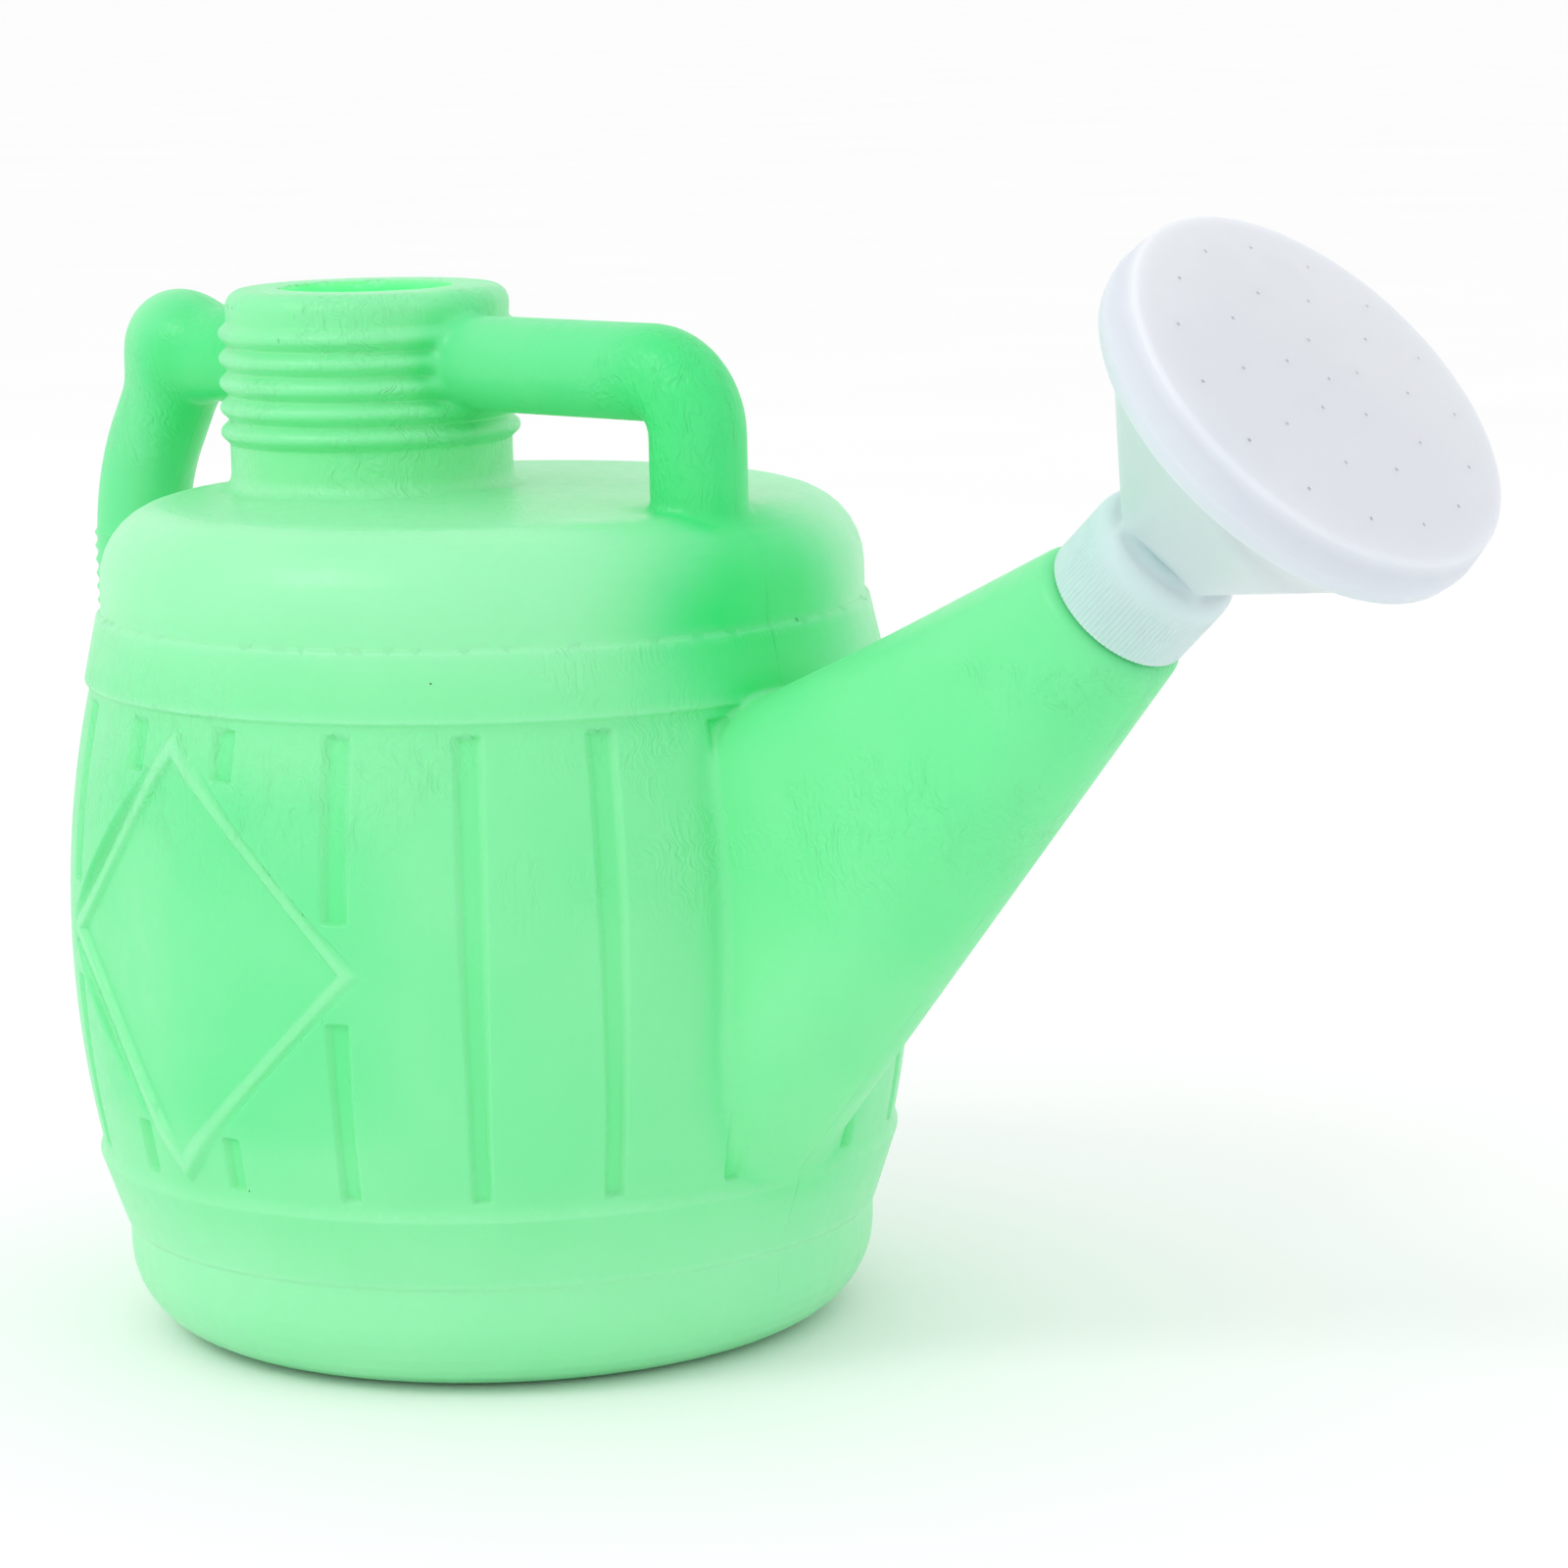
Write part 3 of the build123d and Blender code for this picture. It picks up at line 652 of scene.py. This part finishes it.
def tank_tint_with_painted_light(points):
    """Deeper green on the handles for their thicker plastic, with painted floor light on the foot,
    painted highlights on the shoulder, hoop edges, groove walls and panel rims, and painted shade in
    the grooves, round the handles' joints, at the spout's root and between the front leg and the
    spout.
    """
    x, y, z = points.T
    # painted floor light makes the foot paler than the staves
    tint = TINT_FOOT_PAINTED_FLOOR_LIGHT + TINT_STAVES * smoothstep(22, 52, z)
    # a painted highlight pales the shoulder; the neck is deeper again
    tint = tint + TINT_SHOULDER_HIGHLIGHT * smoothstep(148, 174, z) + TINT_NECK * smoothstep(184, 200, z)
    level = smoothstep(52, 62, z) * (1 - smoothstep(128, 142, z))
    tint = tint + TINT_PANEL * smoothstep(76, 88, np.abs(y)) * level
    groove = groove_share(x, y, z)
    # painted shade deepens the groove floors and painted highlights pale the groove walls
    tint = tint + TINT_GROOVE_SHADE * groove + TINT_GROOVE_WALL_HIGHLIGHT * groove * (1 - groove)
    # a painted highlight line just inside each panel's raised rim
    depth, _, _, edge = panel_place(x, y, z)
    tint = tint + TINT_PANEL_RIM_HIGHLIGHT * np.exp(-((edge + 2.2) / 1.5) ** 2) * (depth > PANEL_NEAR)

    # deeper green round the handles, for thicker plastic and as painted shade where they join the
    # tank, more towards the front leg and the neck
    front_gap_here = np.hypot(front_gap(x, z), y) - FRONT_TUBE_R
    rear_gap_here = np.hypot(rear_gap(x, z), y) - REAR_TUBE_R
    front_tint = TINT_HANDLE_FRONT + TINT_HANDLE_BEND * smoothstep(40, FRONT_X, x)
    rear_tint = TINT_HANDLE_REAR + TINT_HANDLE_BEND * smoothstep(-104, -94, x)
    for gap, deep in ((front_gap_here, front_tint), (rear_gap_here, rear_tint)):
        near = 1 - smoothstep(0.5, 9, gap)
        tint = tint * (1 - near) + np.maximum(deep, tint) * near

    # painted shade in the corner between the front handle's leg and the spout
    away = np.sqrt((x - DEEPEST_SHADE[0]) ** 2 + (y * 0.8) ** 2 + (z - DEEPEST_SHADE[1]) ** 2)
    tint = tint + (1 - tint) * (1 - smoothstep(8, 40, away))

    spout_gap = spout_field(x, y, z, 0)
    ahead = smoothstep(66, 80, x)
    # painted shade in a band round the spout's root
    tint = tint + TINT_SPOUT_ROOT_SHADE * np.exp(-(spout_gap / 4) ** 2) * ahead
    spout = (1 - smoothstep(0.4, 2.0, spout_gap)) * ahead
    spout_tint = TINT_SPOUT_LOW + TINT_SPOUT_RISE * smoothstep(70, 120, z)
    tint = tint * (1 - spout) + spout_tint * spout
    # painted highlight lines along the hoops' edges, off the spout
    for hoop_z in HOOP_EDGES:
        tint = tint + TINT_HOOP_EDGE_HIGHLIGHT * np.exp(-((z - hoop_z) / 0.9) ** 2) * (1 - spout)
    return tint


def finish_mesh(mesh, field):
    """Smooth shading with the field's own normals."""
    mesh.polygons.foreach_set("use_smooth", [True] * len(mesh.polygons))
    normals = gradient(field, coordinates(mesh) / MM, 0.2)
    normals /= np.linalg.norm(normals, axis=1)[:, None]
    mesh.normals_split_custom_set_from_vertices(normals.tolist())


tank = make_tank()
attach(tank, "tank")
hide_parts("tank_base", "tank_barrel", "tank_shoulder", "filler_neck", "front_handle",
            "rear_handle", "spout")

# ---- the rose: a body with its ribbed collar and funnel, and a domed face -----------------------
rose_axis = Vector((math.cos(SPOUT_ANGLE), 0, math.sin(SPOUT_ANGLE)))
rose_up = Vector((-math.sin(SPOUT_ANGLE), 0, math.cos(SPOUT_ANGLE)))
collar_foot = Vector((MOUTH[0], 0, MOUTH[1])) + rose_axis * COLLAR_GAP


def on_rose(angle, radius, along):
    """Points in metres at the angle from +Y towards the rose's up, and at a height above its foot."""
    angle, radius, along = np.broadcast_arrays(angle, radius, along)
    across = (radius * np.cos(angle))[..., None] * np.array((0, 1, 0))
    rise = (radius * np.sin(angle))[..., None] * np.array(rose_up)
    return (np.array(collar_foot) + across + rise + along[..., None] * np.array(rose_axis)) * MM


def from_collar_foot(mesh):
    """Every vertex's place in millimetres, measured from the collar's foot."""
    return coordinates(mesh) / MM - np.array(collar_foot)


def ring_mesh(name, rows, smooth_angle=None):
    """A closed mesh from rows of points, joined round each row and from the last row to the first."""
    count = len(rows[0])
    points = np.concatenate(rows)
    faces = []
    column = np.arange(count)
    following = np.roll(column, -1)
    for row in range(len(rows)):
        a = row * count
        b = (row + 1) % len(rows) * count
        faces.append(np.stack((a + column, a + following, b + following, b + column), axis=1))
    mesh = bpy.data.meshes.new(name)
    mesh.from_pydata(points.tolist(), [], np.concatenate(faces).tolist())
    mesh.polygons.foreach_set("use_smooth", [True] * len(mesh.polygons))
    if smooth_angle is not None:
        mesh.set_sharp_from_angle(angle=math.radians(smooth_angle))
    mesh.update()
    piece = bpy.data.objects.new(name, mesh)
    bpy.context.collection.objects.link(piece)
    return piece


def funnel_radius(angle, along):
    """The funnel's outside: straight lines from a rounded square to a circle."""
    share = np.clip((along - COLLAR_TOP) / (FUNNEL_FLARE_END - COLLAR_TOP), 0, 1)
    straight = FUNNEL_HALF - FUNNEL_CORNER
    points = []
    for side in range(4):
        turn = math.pi / 2 * side
        for step in np.linspace(-1, 1, 13)[:-1]:
            points.append((turn, complex(FUNNEL_HALF, step * straight) * np.exp(1j * turn)))
        for step in np.linspace(0, 1, 17)[:-1]:
            corner = complex(straight, straight)
            corner += FUNNEL_CORNER * np.exp(1j * math.pi / 2 * step)
            points.append((turn + math.pi / 2 * step, corner * np.exp(1j * turn)))
    rim = np.array([turn for turn, _ in points])
    square = np.array([place for _, place in points])
    section = square * (1 - share) + FUNNEL_MOUTH_R * np.exp(1j * rim) * share
    bearing = np.unwrap(np.angle(section))
    wrapped = np.concatenate((bearing - 2 * np.pi, bearing, bearing + 2 * np.pi))
    size = np.tile(np.abs(section), 3)
    return np.interp((angle - FUNNEL_TURN) % (2 * np.pi), wrapped, size)


def make_rose_body():
    """The collar with its ribs and bore, the funnel, and the lip that the face snaps over."""
    columns = RIB_COUNT * 4
    angle = np.arange(columns) * 2 * np.pi / columns
    rib = np.tile((0, 0, 1, 1), RIB_COUNT)
    lip_inner_r = FUNNEL_LIP_R - FUNNEL_WALL
    rows = []

    def row(radius, along):
        rows.append(on_rose(angle, radius, along))

    row(COLLAR_BORE_R, COLLAR_EDGE)
    row(COLLAR_BORE_R + COLLAR_EDGE, 0.0)
    row(COLLAR_R - 0.5, 0.0)
    row(COLLAR_R - COLLAR_EDGE / 2 - RIB_DEPTH * rib * 0.5, COLLAR_EDGE / 2)
    for along in (0.5, 3.0, 6.0, 9.0, 11.5, 12.5, 13.5, RIB_END):
        depth = RIB_DEPTH * min(1, (RIB_END - along) / RIB_FADE)
        row(COLLAR_R - depth * rib, along)
    for share in np.linspace(0.08, 1, 16):
        along = RIB_END + (FUNNEL_START - RIB_END) * share
        shoulder = SHOULDER_NECK_R + (COLLAR_R - SHOULDER_NECK_R) * math.sqrt(1 - share ** 2.2)
        row(smooth_max(shoulder, funnel_radius(angle, along), 2.2), along)
    for share in np.linspace(0, 1, 26)[1:]:
        along = FUNNEL_START + (FUNNEL_FLARE_END - FUNNEL_START) * share
        row(funnel_radius(angle, along), along)
    row(FUNNEL_MOUTH_R + 0.6, FUNNEL_FLARE_END + 0.8)
    row(FUNNEL_LIP_R, FUNNEL_LIP_START)
    row(FUNNEL_LIP_R, FUNNEL_LIP_END - FUNNEL_EDGE)
    row(FUNNEL_LIP_R - FUNNEL_EDGE, FUNNEL_LIP_END)
    row(lip_inner_r + FUNNEL_EDGE, FUNNEL_LIP_END)
    row(lip_inner_r, FUNNEL_LIP_END - FUNNEL_EDGE)
    row(lip_inner_r, FUNNEL_LIP_START)
    for share in np.linspace(1, 0, 14):
        along = COLLAR_TOP + 2.0 + (FUNNEL_FLARE_END - COLLAR_TOP - 2.0) * share
        row(funnel_radius(angle, along) - FUNNEL_WALL * 1.15, along)
    row(THROAT_R + FUNNEL_EDGE, COLLAR_TOP + FUNNEL_EDGE)
    row(THROAT_R, COLLAR_TOP)
    row(THROAT_R, COLLAR_CEILING)
    row(COLLAR_BORE_R, COLLAR_CEILING)
    body = ring_mesh("rose_body_moulding", rows, 50)

    # painted green light from the can on the collar and funnel, fading towards the face and stronger
    # on the upper side
    place = from_collar_foot(body.data)
    along = place @ np.array(rose_axis)
    upper = place[:, 1] * -0.4 + place @ np.array(rose_up)
    store(body.data, "tint", 1.05 - along / FUNNEL_FLARE_END * 0.8 + 0.01 * upper)
    return body


def face_outline():
    """The face's section, from its middle out over the rim and back inside to its middle."""
    apex = FACE_FRONT + FACE_CROWN
    dome_r = (FACE_R ** 2 + FACE_CROWN ** 2) / (2 * FACE_CROWN)
    inside_r = FACE_SKIRT_R - FACE_WALL

    def dome(radius):
        return apex - dome_r + math.sqrt(dome_r ** 2 - radius ** 2)

    rim = rounded([(0, apex, 0), (FACE_FLAT_R, dome(FACE_FLAT_R), 0),
                   (FACE_SHOULDER_R, dome(FACE_SHOULDER_R) - 0.2, 1.3),
                   (FACE_SHOULDER_R + 0.7, FACE_FRONT - 4.0, 5.0), (FACE_R, FACE_BACK + 4.0, 3.0),
                   (FACE_SKIRT_R, FACE_BACK + 0.5, 0), (FACE_SKIRT_R - 0.5, FACE_BACK, 0),
                   (inside_r + 0.3, FACE_BACK, 0), (inside_r, FACE_BACK + 0.3, 0),
                   (inside_r, FACE_FRONT - FACE_WALL - 0.4, 1.5),
                   (FACE_FLAT_R, dome(FACE_FLAT_R) - FACE_WALL, 0), (0, apex - FACE_WALL, 0)])
    outline = [(radius, along) for radius, along in rim if radius > 0.5]
    for inner in (20, 10, 4, FACE_MIDDLE_R):
        outline.insert(0, (inner, dome(inner)))
        outline.append((inner, dome(inner) - FACE_WALL))
    return outline


def close_middle(mesh):
    """Takes out the narrow tube at the face's middle and closes both its ends."""
    bm = bmesh.new()
    bm.from_mesh(mesh)
    foot = Vector(collar_foot) * MM

    def in_tube(vertex):
        out = vertex.co - foot
        radius = (out - rose_axis * out.dot(rose_axis)).length
        return abs(FACE_MIDDLE_R * MM - radius) < 1e-5

    tube = [face for face in bm.faces if all(in_tube(vertex) for vertex in face.verts)]
    bmesh.ops.delete(bm, geom=tube, context="FACES_ONLY")
    rims = [edge for edge in bm.edges if edge.is_boundary]
    bmesh.ops.holes_fill(bm, edges=rims, sides=0)
    bm.to_mesh(mesh)
    bm.free()
    mesh.polygons.foreach_set("use_smooth", [True] * len(mesh.polygons))


def make_hole_cutter():
    """A prism through the face for each spray hole, in rings about the middle."""
    points, faces = [], []
    around = np.arange(HOLE_SIDES) * 2 * np.pi / HOLE_SIDES
    levels = (FACE_FRONT - FACE_WALL - 2, FACE_FRONT + FACE_CROWN + 1)
    for ring_r, count, first in HOLE_RINGS:
        for number in range(count):
            turn = math.radians(first) + 2 * math.pi * number / count
            middle = np.array((ring_r * math.cos(turn), ring_r * math.sin(turn)))
            base = len(points)
            for level in levels:
                for spin in around:
                    x, y = middle + HOLE_R * np.array((math.cos(spin), math.sin(spin)))
                    points.append(on_rose(math.atan2(y, x), math.hypot(x, y), level))
            top = base + HOLE_SIDES
            for k in range(HOLE_SIDES):
                n = (k + 1) % HOLE_SIDES
                faces.append((base + k, base + n, top + n, top + k))
            faces.append([top - 1 - k for k in range(HOLE_SIDES)])
            faces.append([top + k for k in range(HOLE_SIDES)])
    mesh = bpy.data.meshes.new("hole_cutter")
    mesh.from_pydata([tuple(p) for p in points], [], faces)
    cutter = bpy.data.objects.new("hole_cutter", mesh)
    bpy.context.collection.objects.link(cutter)
    return cutter


def make_rose_face():
    """The domed cap with its skirt and spray holes."""
    angle = np.arange(FACE_COLUMNS) * 2 * np.pi / FACE_COLUMNS
    face = ring_mesh("rose_face_cap", [on_rose(angle, r, along) for r, along in face_outline()])
    close_middle(face.data)
    cutter = make_hole_cutter()
    drill = face.modifiers.new("spray_holes", "BOOLEAN")
    drill.object = cutter
    drill.operation = "DIFFERENCE"
    drill.solver = "EXACT"
    keep_modified(face)
    face.data.set_sharp_from_angle(angle=math.radians(45))
    bpy.data.objects.remove(cutter)
    # painted shade: the skirt behind the face's front edge is darker
    along = from_collar_foot(face.data) @ np.array(rose_axis)
    store(face.data, "tint", 0.2 * (1 - smoothstep(FACE_FRONT - 2.5, FACE_FRONT, along)))
    return face


rose_body = make_rose_body()
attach(rose_body, "rose")
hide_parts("rose_body")

rose_face = make_rose_face()
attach(rose_face, "face")
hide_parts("rose_face")

# ---- materials ----------------------------------------------------------------------------------
class Nodes:
    """A material's node tree, with short calls to add and join nodes; places are millimetres."""

    def __init__(self, name):
        self.material = bpy.data.materials.new(name)
        self.material.use_nodes = True
        self.tree = self.material.node_tree
        self.shader = self.tree.nodes["Principled BSDF"]
        metres = self.add("ShaderNodeTexCoord").outputs["Object"]
        self.place = self.scaled(metres, (1 / MM, 1 / MM, 1 / MM))

    def add(self, kind, **values):
        node = self.tree.nodes.new(kind)
        for key, value in values.items():
            setattr(node, key, value)
        return node

    def put(self, socket, value):
        if isinstance(value, bpy.types.NodeSocket):
            self.tree.links.new(value, socket)
        else:
            socket.default_value = value

    def scaled(self, vector, scale):
        mapping = self.add("ShaderNodeMapping")
        self.put(mapping.inputs["Vector"], vector)
        mapping.inputs["Scale"].default_value = scale
        return mapping.outputs["Vector"]

    def noise(self, vector, scale, detail=2.0):
        noise = self.add("ShaderNodeTexNoise")
        self.put(noise.inputs["Vector"], vector)
        noise.inputs["Scale"].default_value = scale
        noise.inputs["Detail"].default_value = detail
        return noise.outputs["Fac"]

    def spread(self, value, low, high, to_low=0.0, to_high=1.0):
        spread = self.add("ShaderNodeMapRange", interpolation_type="SMOOTHSTEP")
        self.put(spread.inputs["Value"], value)
        for name, number in (("From Min", low), ("From Max", high), ("To Min", to_low),
                             ("To Max", to_high)):
            spread.inputs[name].default_value = number
        return spread.outputs["Result"]

    def maths(self, first, second, operation="ADD"):
        node = self.add("ShaderNodeMath", operation=operation)
        self.put(node.inputs[0], first)
        self.put(node.inputs[1], second)
        return node.outputs["Value"]

    def ramp(self, value, stops):
        ramp = self.add("ShaderNodeValToRGB")
        self.put(ramp.inputs["Fac"], value)
        elements = ramp.color_ramp.elements
        while len(elements) < len(stops):
            elements.new(0.5)
        for element, (position, colour) in zip(elements, stops):
            element.position = position
            element.color = (*colour, 1)
        return ramp.outputs["Color"]

    def mix(self, share, first, second):
        mix = self.add("ShaderNodeMix", data_type="RGBA")
        self.put(mix.inputs["Factor"], share)
        self.put(mix.inputs["A"], first)
        self.put(mix.inputs["B"], second)
        return mix.outputs["Result"]

    def bump(self, height, distance, below=None):
        bump = self.add("ShaderNodeBump")
        self.put(bump.inputs["Height"], height)
        bump.inputs["Distance"].default_value = distance * MM
        if below is not None:
            self.put(bump.inputs["Normal"], below)
        return bump.outputs["Normal"]

    def finish(self, colour, roughness, normal):
        self.put(self.shader.inputs["Base Color"], colour)
        self.put(self.shader.inputs["Roughness"], roughness)
        self.put(self.shader.inputs["Normal"], normal)
        return self.material


def plastic_tint(nodes):
    """The stored tint, made a little uneven."""
    stored = nodes.add("ShaderNodeAttribute", attribute_name="tint").outputs["Fac"]
    cloud = nodes.spread(nodes.noise(nodes.place, 0.025), 0.3, 0.7, -0.05, 0.05)
    return nodes.maths(stored, cloud)


def green_plastic(name, stops):
    """Blow-moulded polyethylene: drawn-out ripples, a parting line, grain and a few specks."""
    nodes = Nodes(name)
    height = nodes.add("ShaderNodeSeparateXYZ")
    nodes.put(height.inputs["Vector"], nodes.place)
    x, y, z = (height.outputs[axis] for axis in "XYZ")

    # ripples about a millimetre wide, bent a little and drawn out along the height
    bend = nodes.spread(nodes.noise(nodes.place, 0.12), 0.3, 0.7, -1.4, 1.4)
    lean = nodes.add("ShaderNodeCombineXYZ")
    nodes.put(lean.inputs["X"], nodes.maths(nodes.maths(x, bend), nodes.maths(z, 0.12, "MULTIPLY")))
    nodes.put(lean.inputs["Y"], nodes.maths(y, bend))
    nodes.put(lean.inputs["Z"], nodes.maths(z, 0.2, "MULTIPLY"))
    ripples = nodes.noise(lean.outputs["Vector"], 1.0, 1.0)
    # they show on the upper staves, the upper hoop and the neck, in patches
    band = nodes.maths(nodes.spread(z, 92, 128), nodes.spread(z, 161, 165, 0, -1))
    band = nodes.maths(band, nodes.spread(z, 184, 188))
    patch = nodes.spread(nodes.noise(nodes.place, 0.03), 0.42, 0.62)
    ripples = nodes.maths(ripples, nodes.maths(band, patch, "MULTIPLY"), "MULTIPLY")

    # the mould's parting line runs round the plane y = 0
    line = nodes.spread(nodes.maths(y, y, "MULTIPLY"), 0.0, 0.06, 1.0, 0.0)
    broken = nodes.spread(nodes.noise(nodes.place, 0.09), 0.4, 0.6, 0.25, 1.0)
    line = nodes.maths(line, broken, "MULTIPLY")

    normal = nodes.bump(nodes.noise(nodes.place, 0.045), 0.8)
    normal = nodes.bump(nodes.noise(nodes.place, 2.4), 0.012, normal)
    normal = nodes.bump(ripples, 0.5, normal)
    normal = nodes.bump(line, 0.14, normal)

    colour = nodes.ramp(plastic_tint(nodes), stops)
    specks = nodes.add("ShaderNodeTexVoronoi")
    nodes.put(specks.inputs["Vector"], nodes.place)
    specks.inputs["Scale"].default_value = 0.05
    speck = nodes.spread(specks.outputs["Distance"], 0.008, 0.016, 1.0, 0.0)
    colour = nodes.mix(speck, colour, SPECK)
    roughness = nodes.spread(nodes.noise(nodes.place, 0.3), 0.3, 0.7, 0.33, 0.42)
    # a painted glow on the inside stands in for daylight through the wall
    glow = nodes.add("ShaderNodeAttribute", attribute_name="glow").outputs["Fac"]
    nodes.put(nodes.shader.inputs["Emission Strength"], nodes.maths(glow, 0.55, "MULTIPLY"))
    nodes.shader.inputs["Emission Color"].default_value = GLOW
    nodes.shader.inputs["Subsurface Weight"].default_value = 0.3
    nodes.shader.inputs["Subsurface Radius"].default_value = (0.35, 1.0, 0.5)
    nodes.shader.inputs["Subsurface Scale"].default_value = 4 * MM
    return nodes.finish(colour, roughness, normal)


def white_plastic(name, stops):
    """Natural polyethylene: milky and faintly lilac in places, with painted green light from the can
    near the collar and painted shade on the face's skirt.
    """
    nodes = Nodes(name)
    colour = nodes.ramp(plastic_tint(nodes), stops)
    lilac = nodes.spread(nodes.noise(nodes.place, 0.018, 1.0), 0.35, 0.65, 0.0, 0.35)
    colour = nodes.mix(lilac, colour, LILAC)
    normal = nodes.bump(nodes.noise(nodes.place, 0.06), 0.5)
    normal = nodes.bump(nodes.noise(nodes.place, 2.0), 0.01, normal)
    roughness = nodes.spread(nodes.noise(nodes.place, 0.2), 0.3, 0.7, 0.36, 0.46)
    nodes.shader.inputs["Subsurface Weight"].default_value = 0.6
    nodes.shader.inputs["Subsurface Radius"].default_value = (0.9, 1.0, 1.0)
    nodes.shader.inputs["Subsurface Scale"].default_value = 6 * MM
    return nodes.finish(colour, roughness, normal)


def seal_rubber(name):
    """Grey-green rubber with a fine grain."""
    nodes = Nodes(name)
    cloud = nodes.noise(nodes.place, 0.5, 3.0)
    colour = nodes.ramp(cloud, RUBBER_STOPS)
    normal = nodes.bump(nodes.noise(nodes.place, 3.0), 0.03)
    return nodes.finish(colour, nodes.spread(cloud, 0.3, 0.7, 0.55, 0.7), normal)


def floor_paper(name):
    """Matt near-white paper."""
    nodes = Nodes(name)
    cloud = nodes.noise(nodes.place, 0.004)
    colour = nodes.ramp(cloud, PAPER_STOPS)
    return nodes.finish(colour, nodes.spread(cloud, 0.3, 0.7, 0.85, 0.95),
                        nodes.bump(nodes.noise(nodes.place, 0.8), 0.01))


def paint(thing, material):
    thing.data.materials.clear()
    thing.data.materials.append(material)


# tint 0 is the palest green and 1 the deepest; the tint carries painted light and painted shade as
# well as the plastic's own depth of colour
GREEN_STOPS = [(0.0, (0.33, 0.83, 0.46)), (0.45, (0.215, 0.79, 0.36)), (0.75, (0.115, 0.76, 0.285)),
               (1.0, (0.03, 0.74, 0.19))]
NOZZLE_STOPS = [(0.0, (0.2, 0.84, 0.35)), (1.0, (0.16, 0.82, 0.32))]
# the face's white at 0, painted shade on the face's skirt at 0.2, and painted green light from the can
# from 0.35 up to 1
WHITE_STOPS = [(0.0, (0.78, 0.83, 0.90)), (0.2, (0.66, 0.71, 0.80)), (0.35, (0.70, 0.83, 0.86)),
               (1.0, (0.50, 0.78, 0.71))]
RUBBER_STOPS = [(0.3, (0.42, 0.48, 0.46)), (0.7, (0.54, 0.6, 0.57))]
PAPER_STOPS = [(0.3, (0.97, 0.97, 0.97)), (0.7, (0.985, 0.985, 0.985))]
LILAC = (0.70, 0.74, 0.86, 1)
SPECK = (0.03, 0.22, 0.08, 1)
GLOW = (0.16, 0.78, 0.32, 1)

green = green_plastic("green_polyethylene", GREEN_STOPS)
nozzle_green = green_plastic("nozzle_polyethylene", NOZZLE_STOPS)
white = white_plastic("white_polyethylene", WHITE_STOPS)
paint(tank, green)
paint(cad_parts["screw_nozzle"], nozzle_green)
paint(rose_body, white)
paint(rose_face, white)
paint(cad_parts["sealing_washer"], seal_rubber("seal_rubber"))

# ---- floor, light and camera --------------------------------------------------------------------
FLOOR_HALF = 30.0
floor_mesh = bpy.data.meshes.new("floor")
floor_mesh.from_pydata([(-FLOOR_HALF, -FLOOR_HALF, 0), (FLOOR_HALF, -FLOOR_HALF, 0),
                        (FLOOR_HALF, FLOOR_HALF, 0), (-FLOOR_HALF, FLOOR_HALF, 0)],
                       [], [(0, 1, 2, 3)])
floor = bpy.data.objects.new("floor", floor_mesh)
bpy.context.collection.objects.link(floor)
paint(floor, floor_paper("pale_floor"))

world = bpy.data.worlds.new("studio")
world.use_nodes = True
world.node_tree.nodes["Background"].inputs["Color"].default_value = (1, 1, 1, 1)
world.node_tree.nodes["Background"].inputs["Strength"].default_value = 1.0
bpy.context.scene.world = world
bpy.context.scene.view_settings.view_transform = "Standard"


def area_light(name, place, target, size, power):
    """A soft round light at a place in metres, aimed at a target."""
    data = bpy.data.lights.new(name, "AREA")
    data.shape = "DISK"
    data.size = size
    data.energy = power
    light = bpy.data.objects.new(name, data)
    light.location = place
    aim = Vector(target) - Vector(place)
    light.rotation_euler = aim.to_track_quat("-Z", "Y").to_euler()
    bpy.context.collection.objects.link(light)


area_light("key", place=(-0.3, -1.2, 1.3), target=(0.03, 0, 0.1), size=0.7, power=5)

CAMERA_PLACE = (0.8146, -0.8117, 0.3088)
CAMERA_YAW = math.radians(41.8)
CAMERA_PITCH = math.radians(-9.4)
CAMERA_ROLL = math.radians(-1.28)
CAMERA_LENS = 118.5
SENSOR_WIDTH = 36
forward = Vector((-math.sin(CAMERA_YAW) * math.cos(CAMERA_PITCH),
                  math.cos(CAMERA_YAW) * math.cos(CAMERA_PITCH), math.sin(CAMERA_PITCH)))
level = forward.cross(Vector((0, 0, 1))).normalized()
above = level.cross(forward)
right = level * math.cos(CAMERA_ROLL) + above * math.sin(CAMERA_ROLL)
top = above * math.cos(CAMERA_ROLL) - level * math.sin(CAMERA_ROLL)
camera_data = bpy.data.cameras.new("camera")
camera_data.lens = CAMERA_LENS
camera_data.sensor_width = SENSOR_WIDTH
camera = bpy.data.objects.new("camera", camera_data)
camera.matrix_world = Matrix((
    (right.x, top.x, -forward.x, CAMERA_PLACE[0]), (right.y, top.y, -forward.y, CAMERA_PLACE[1]),
    (right.z, top.z, -forward.z, CAMERA_PLACE[2]), (0, 0, 0, 1)))
bpy.context.collection.objects.link(camera)
bpy.context.scene.camera = camera
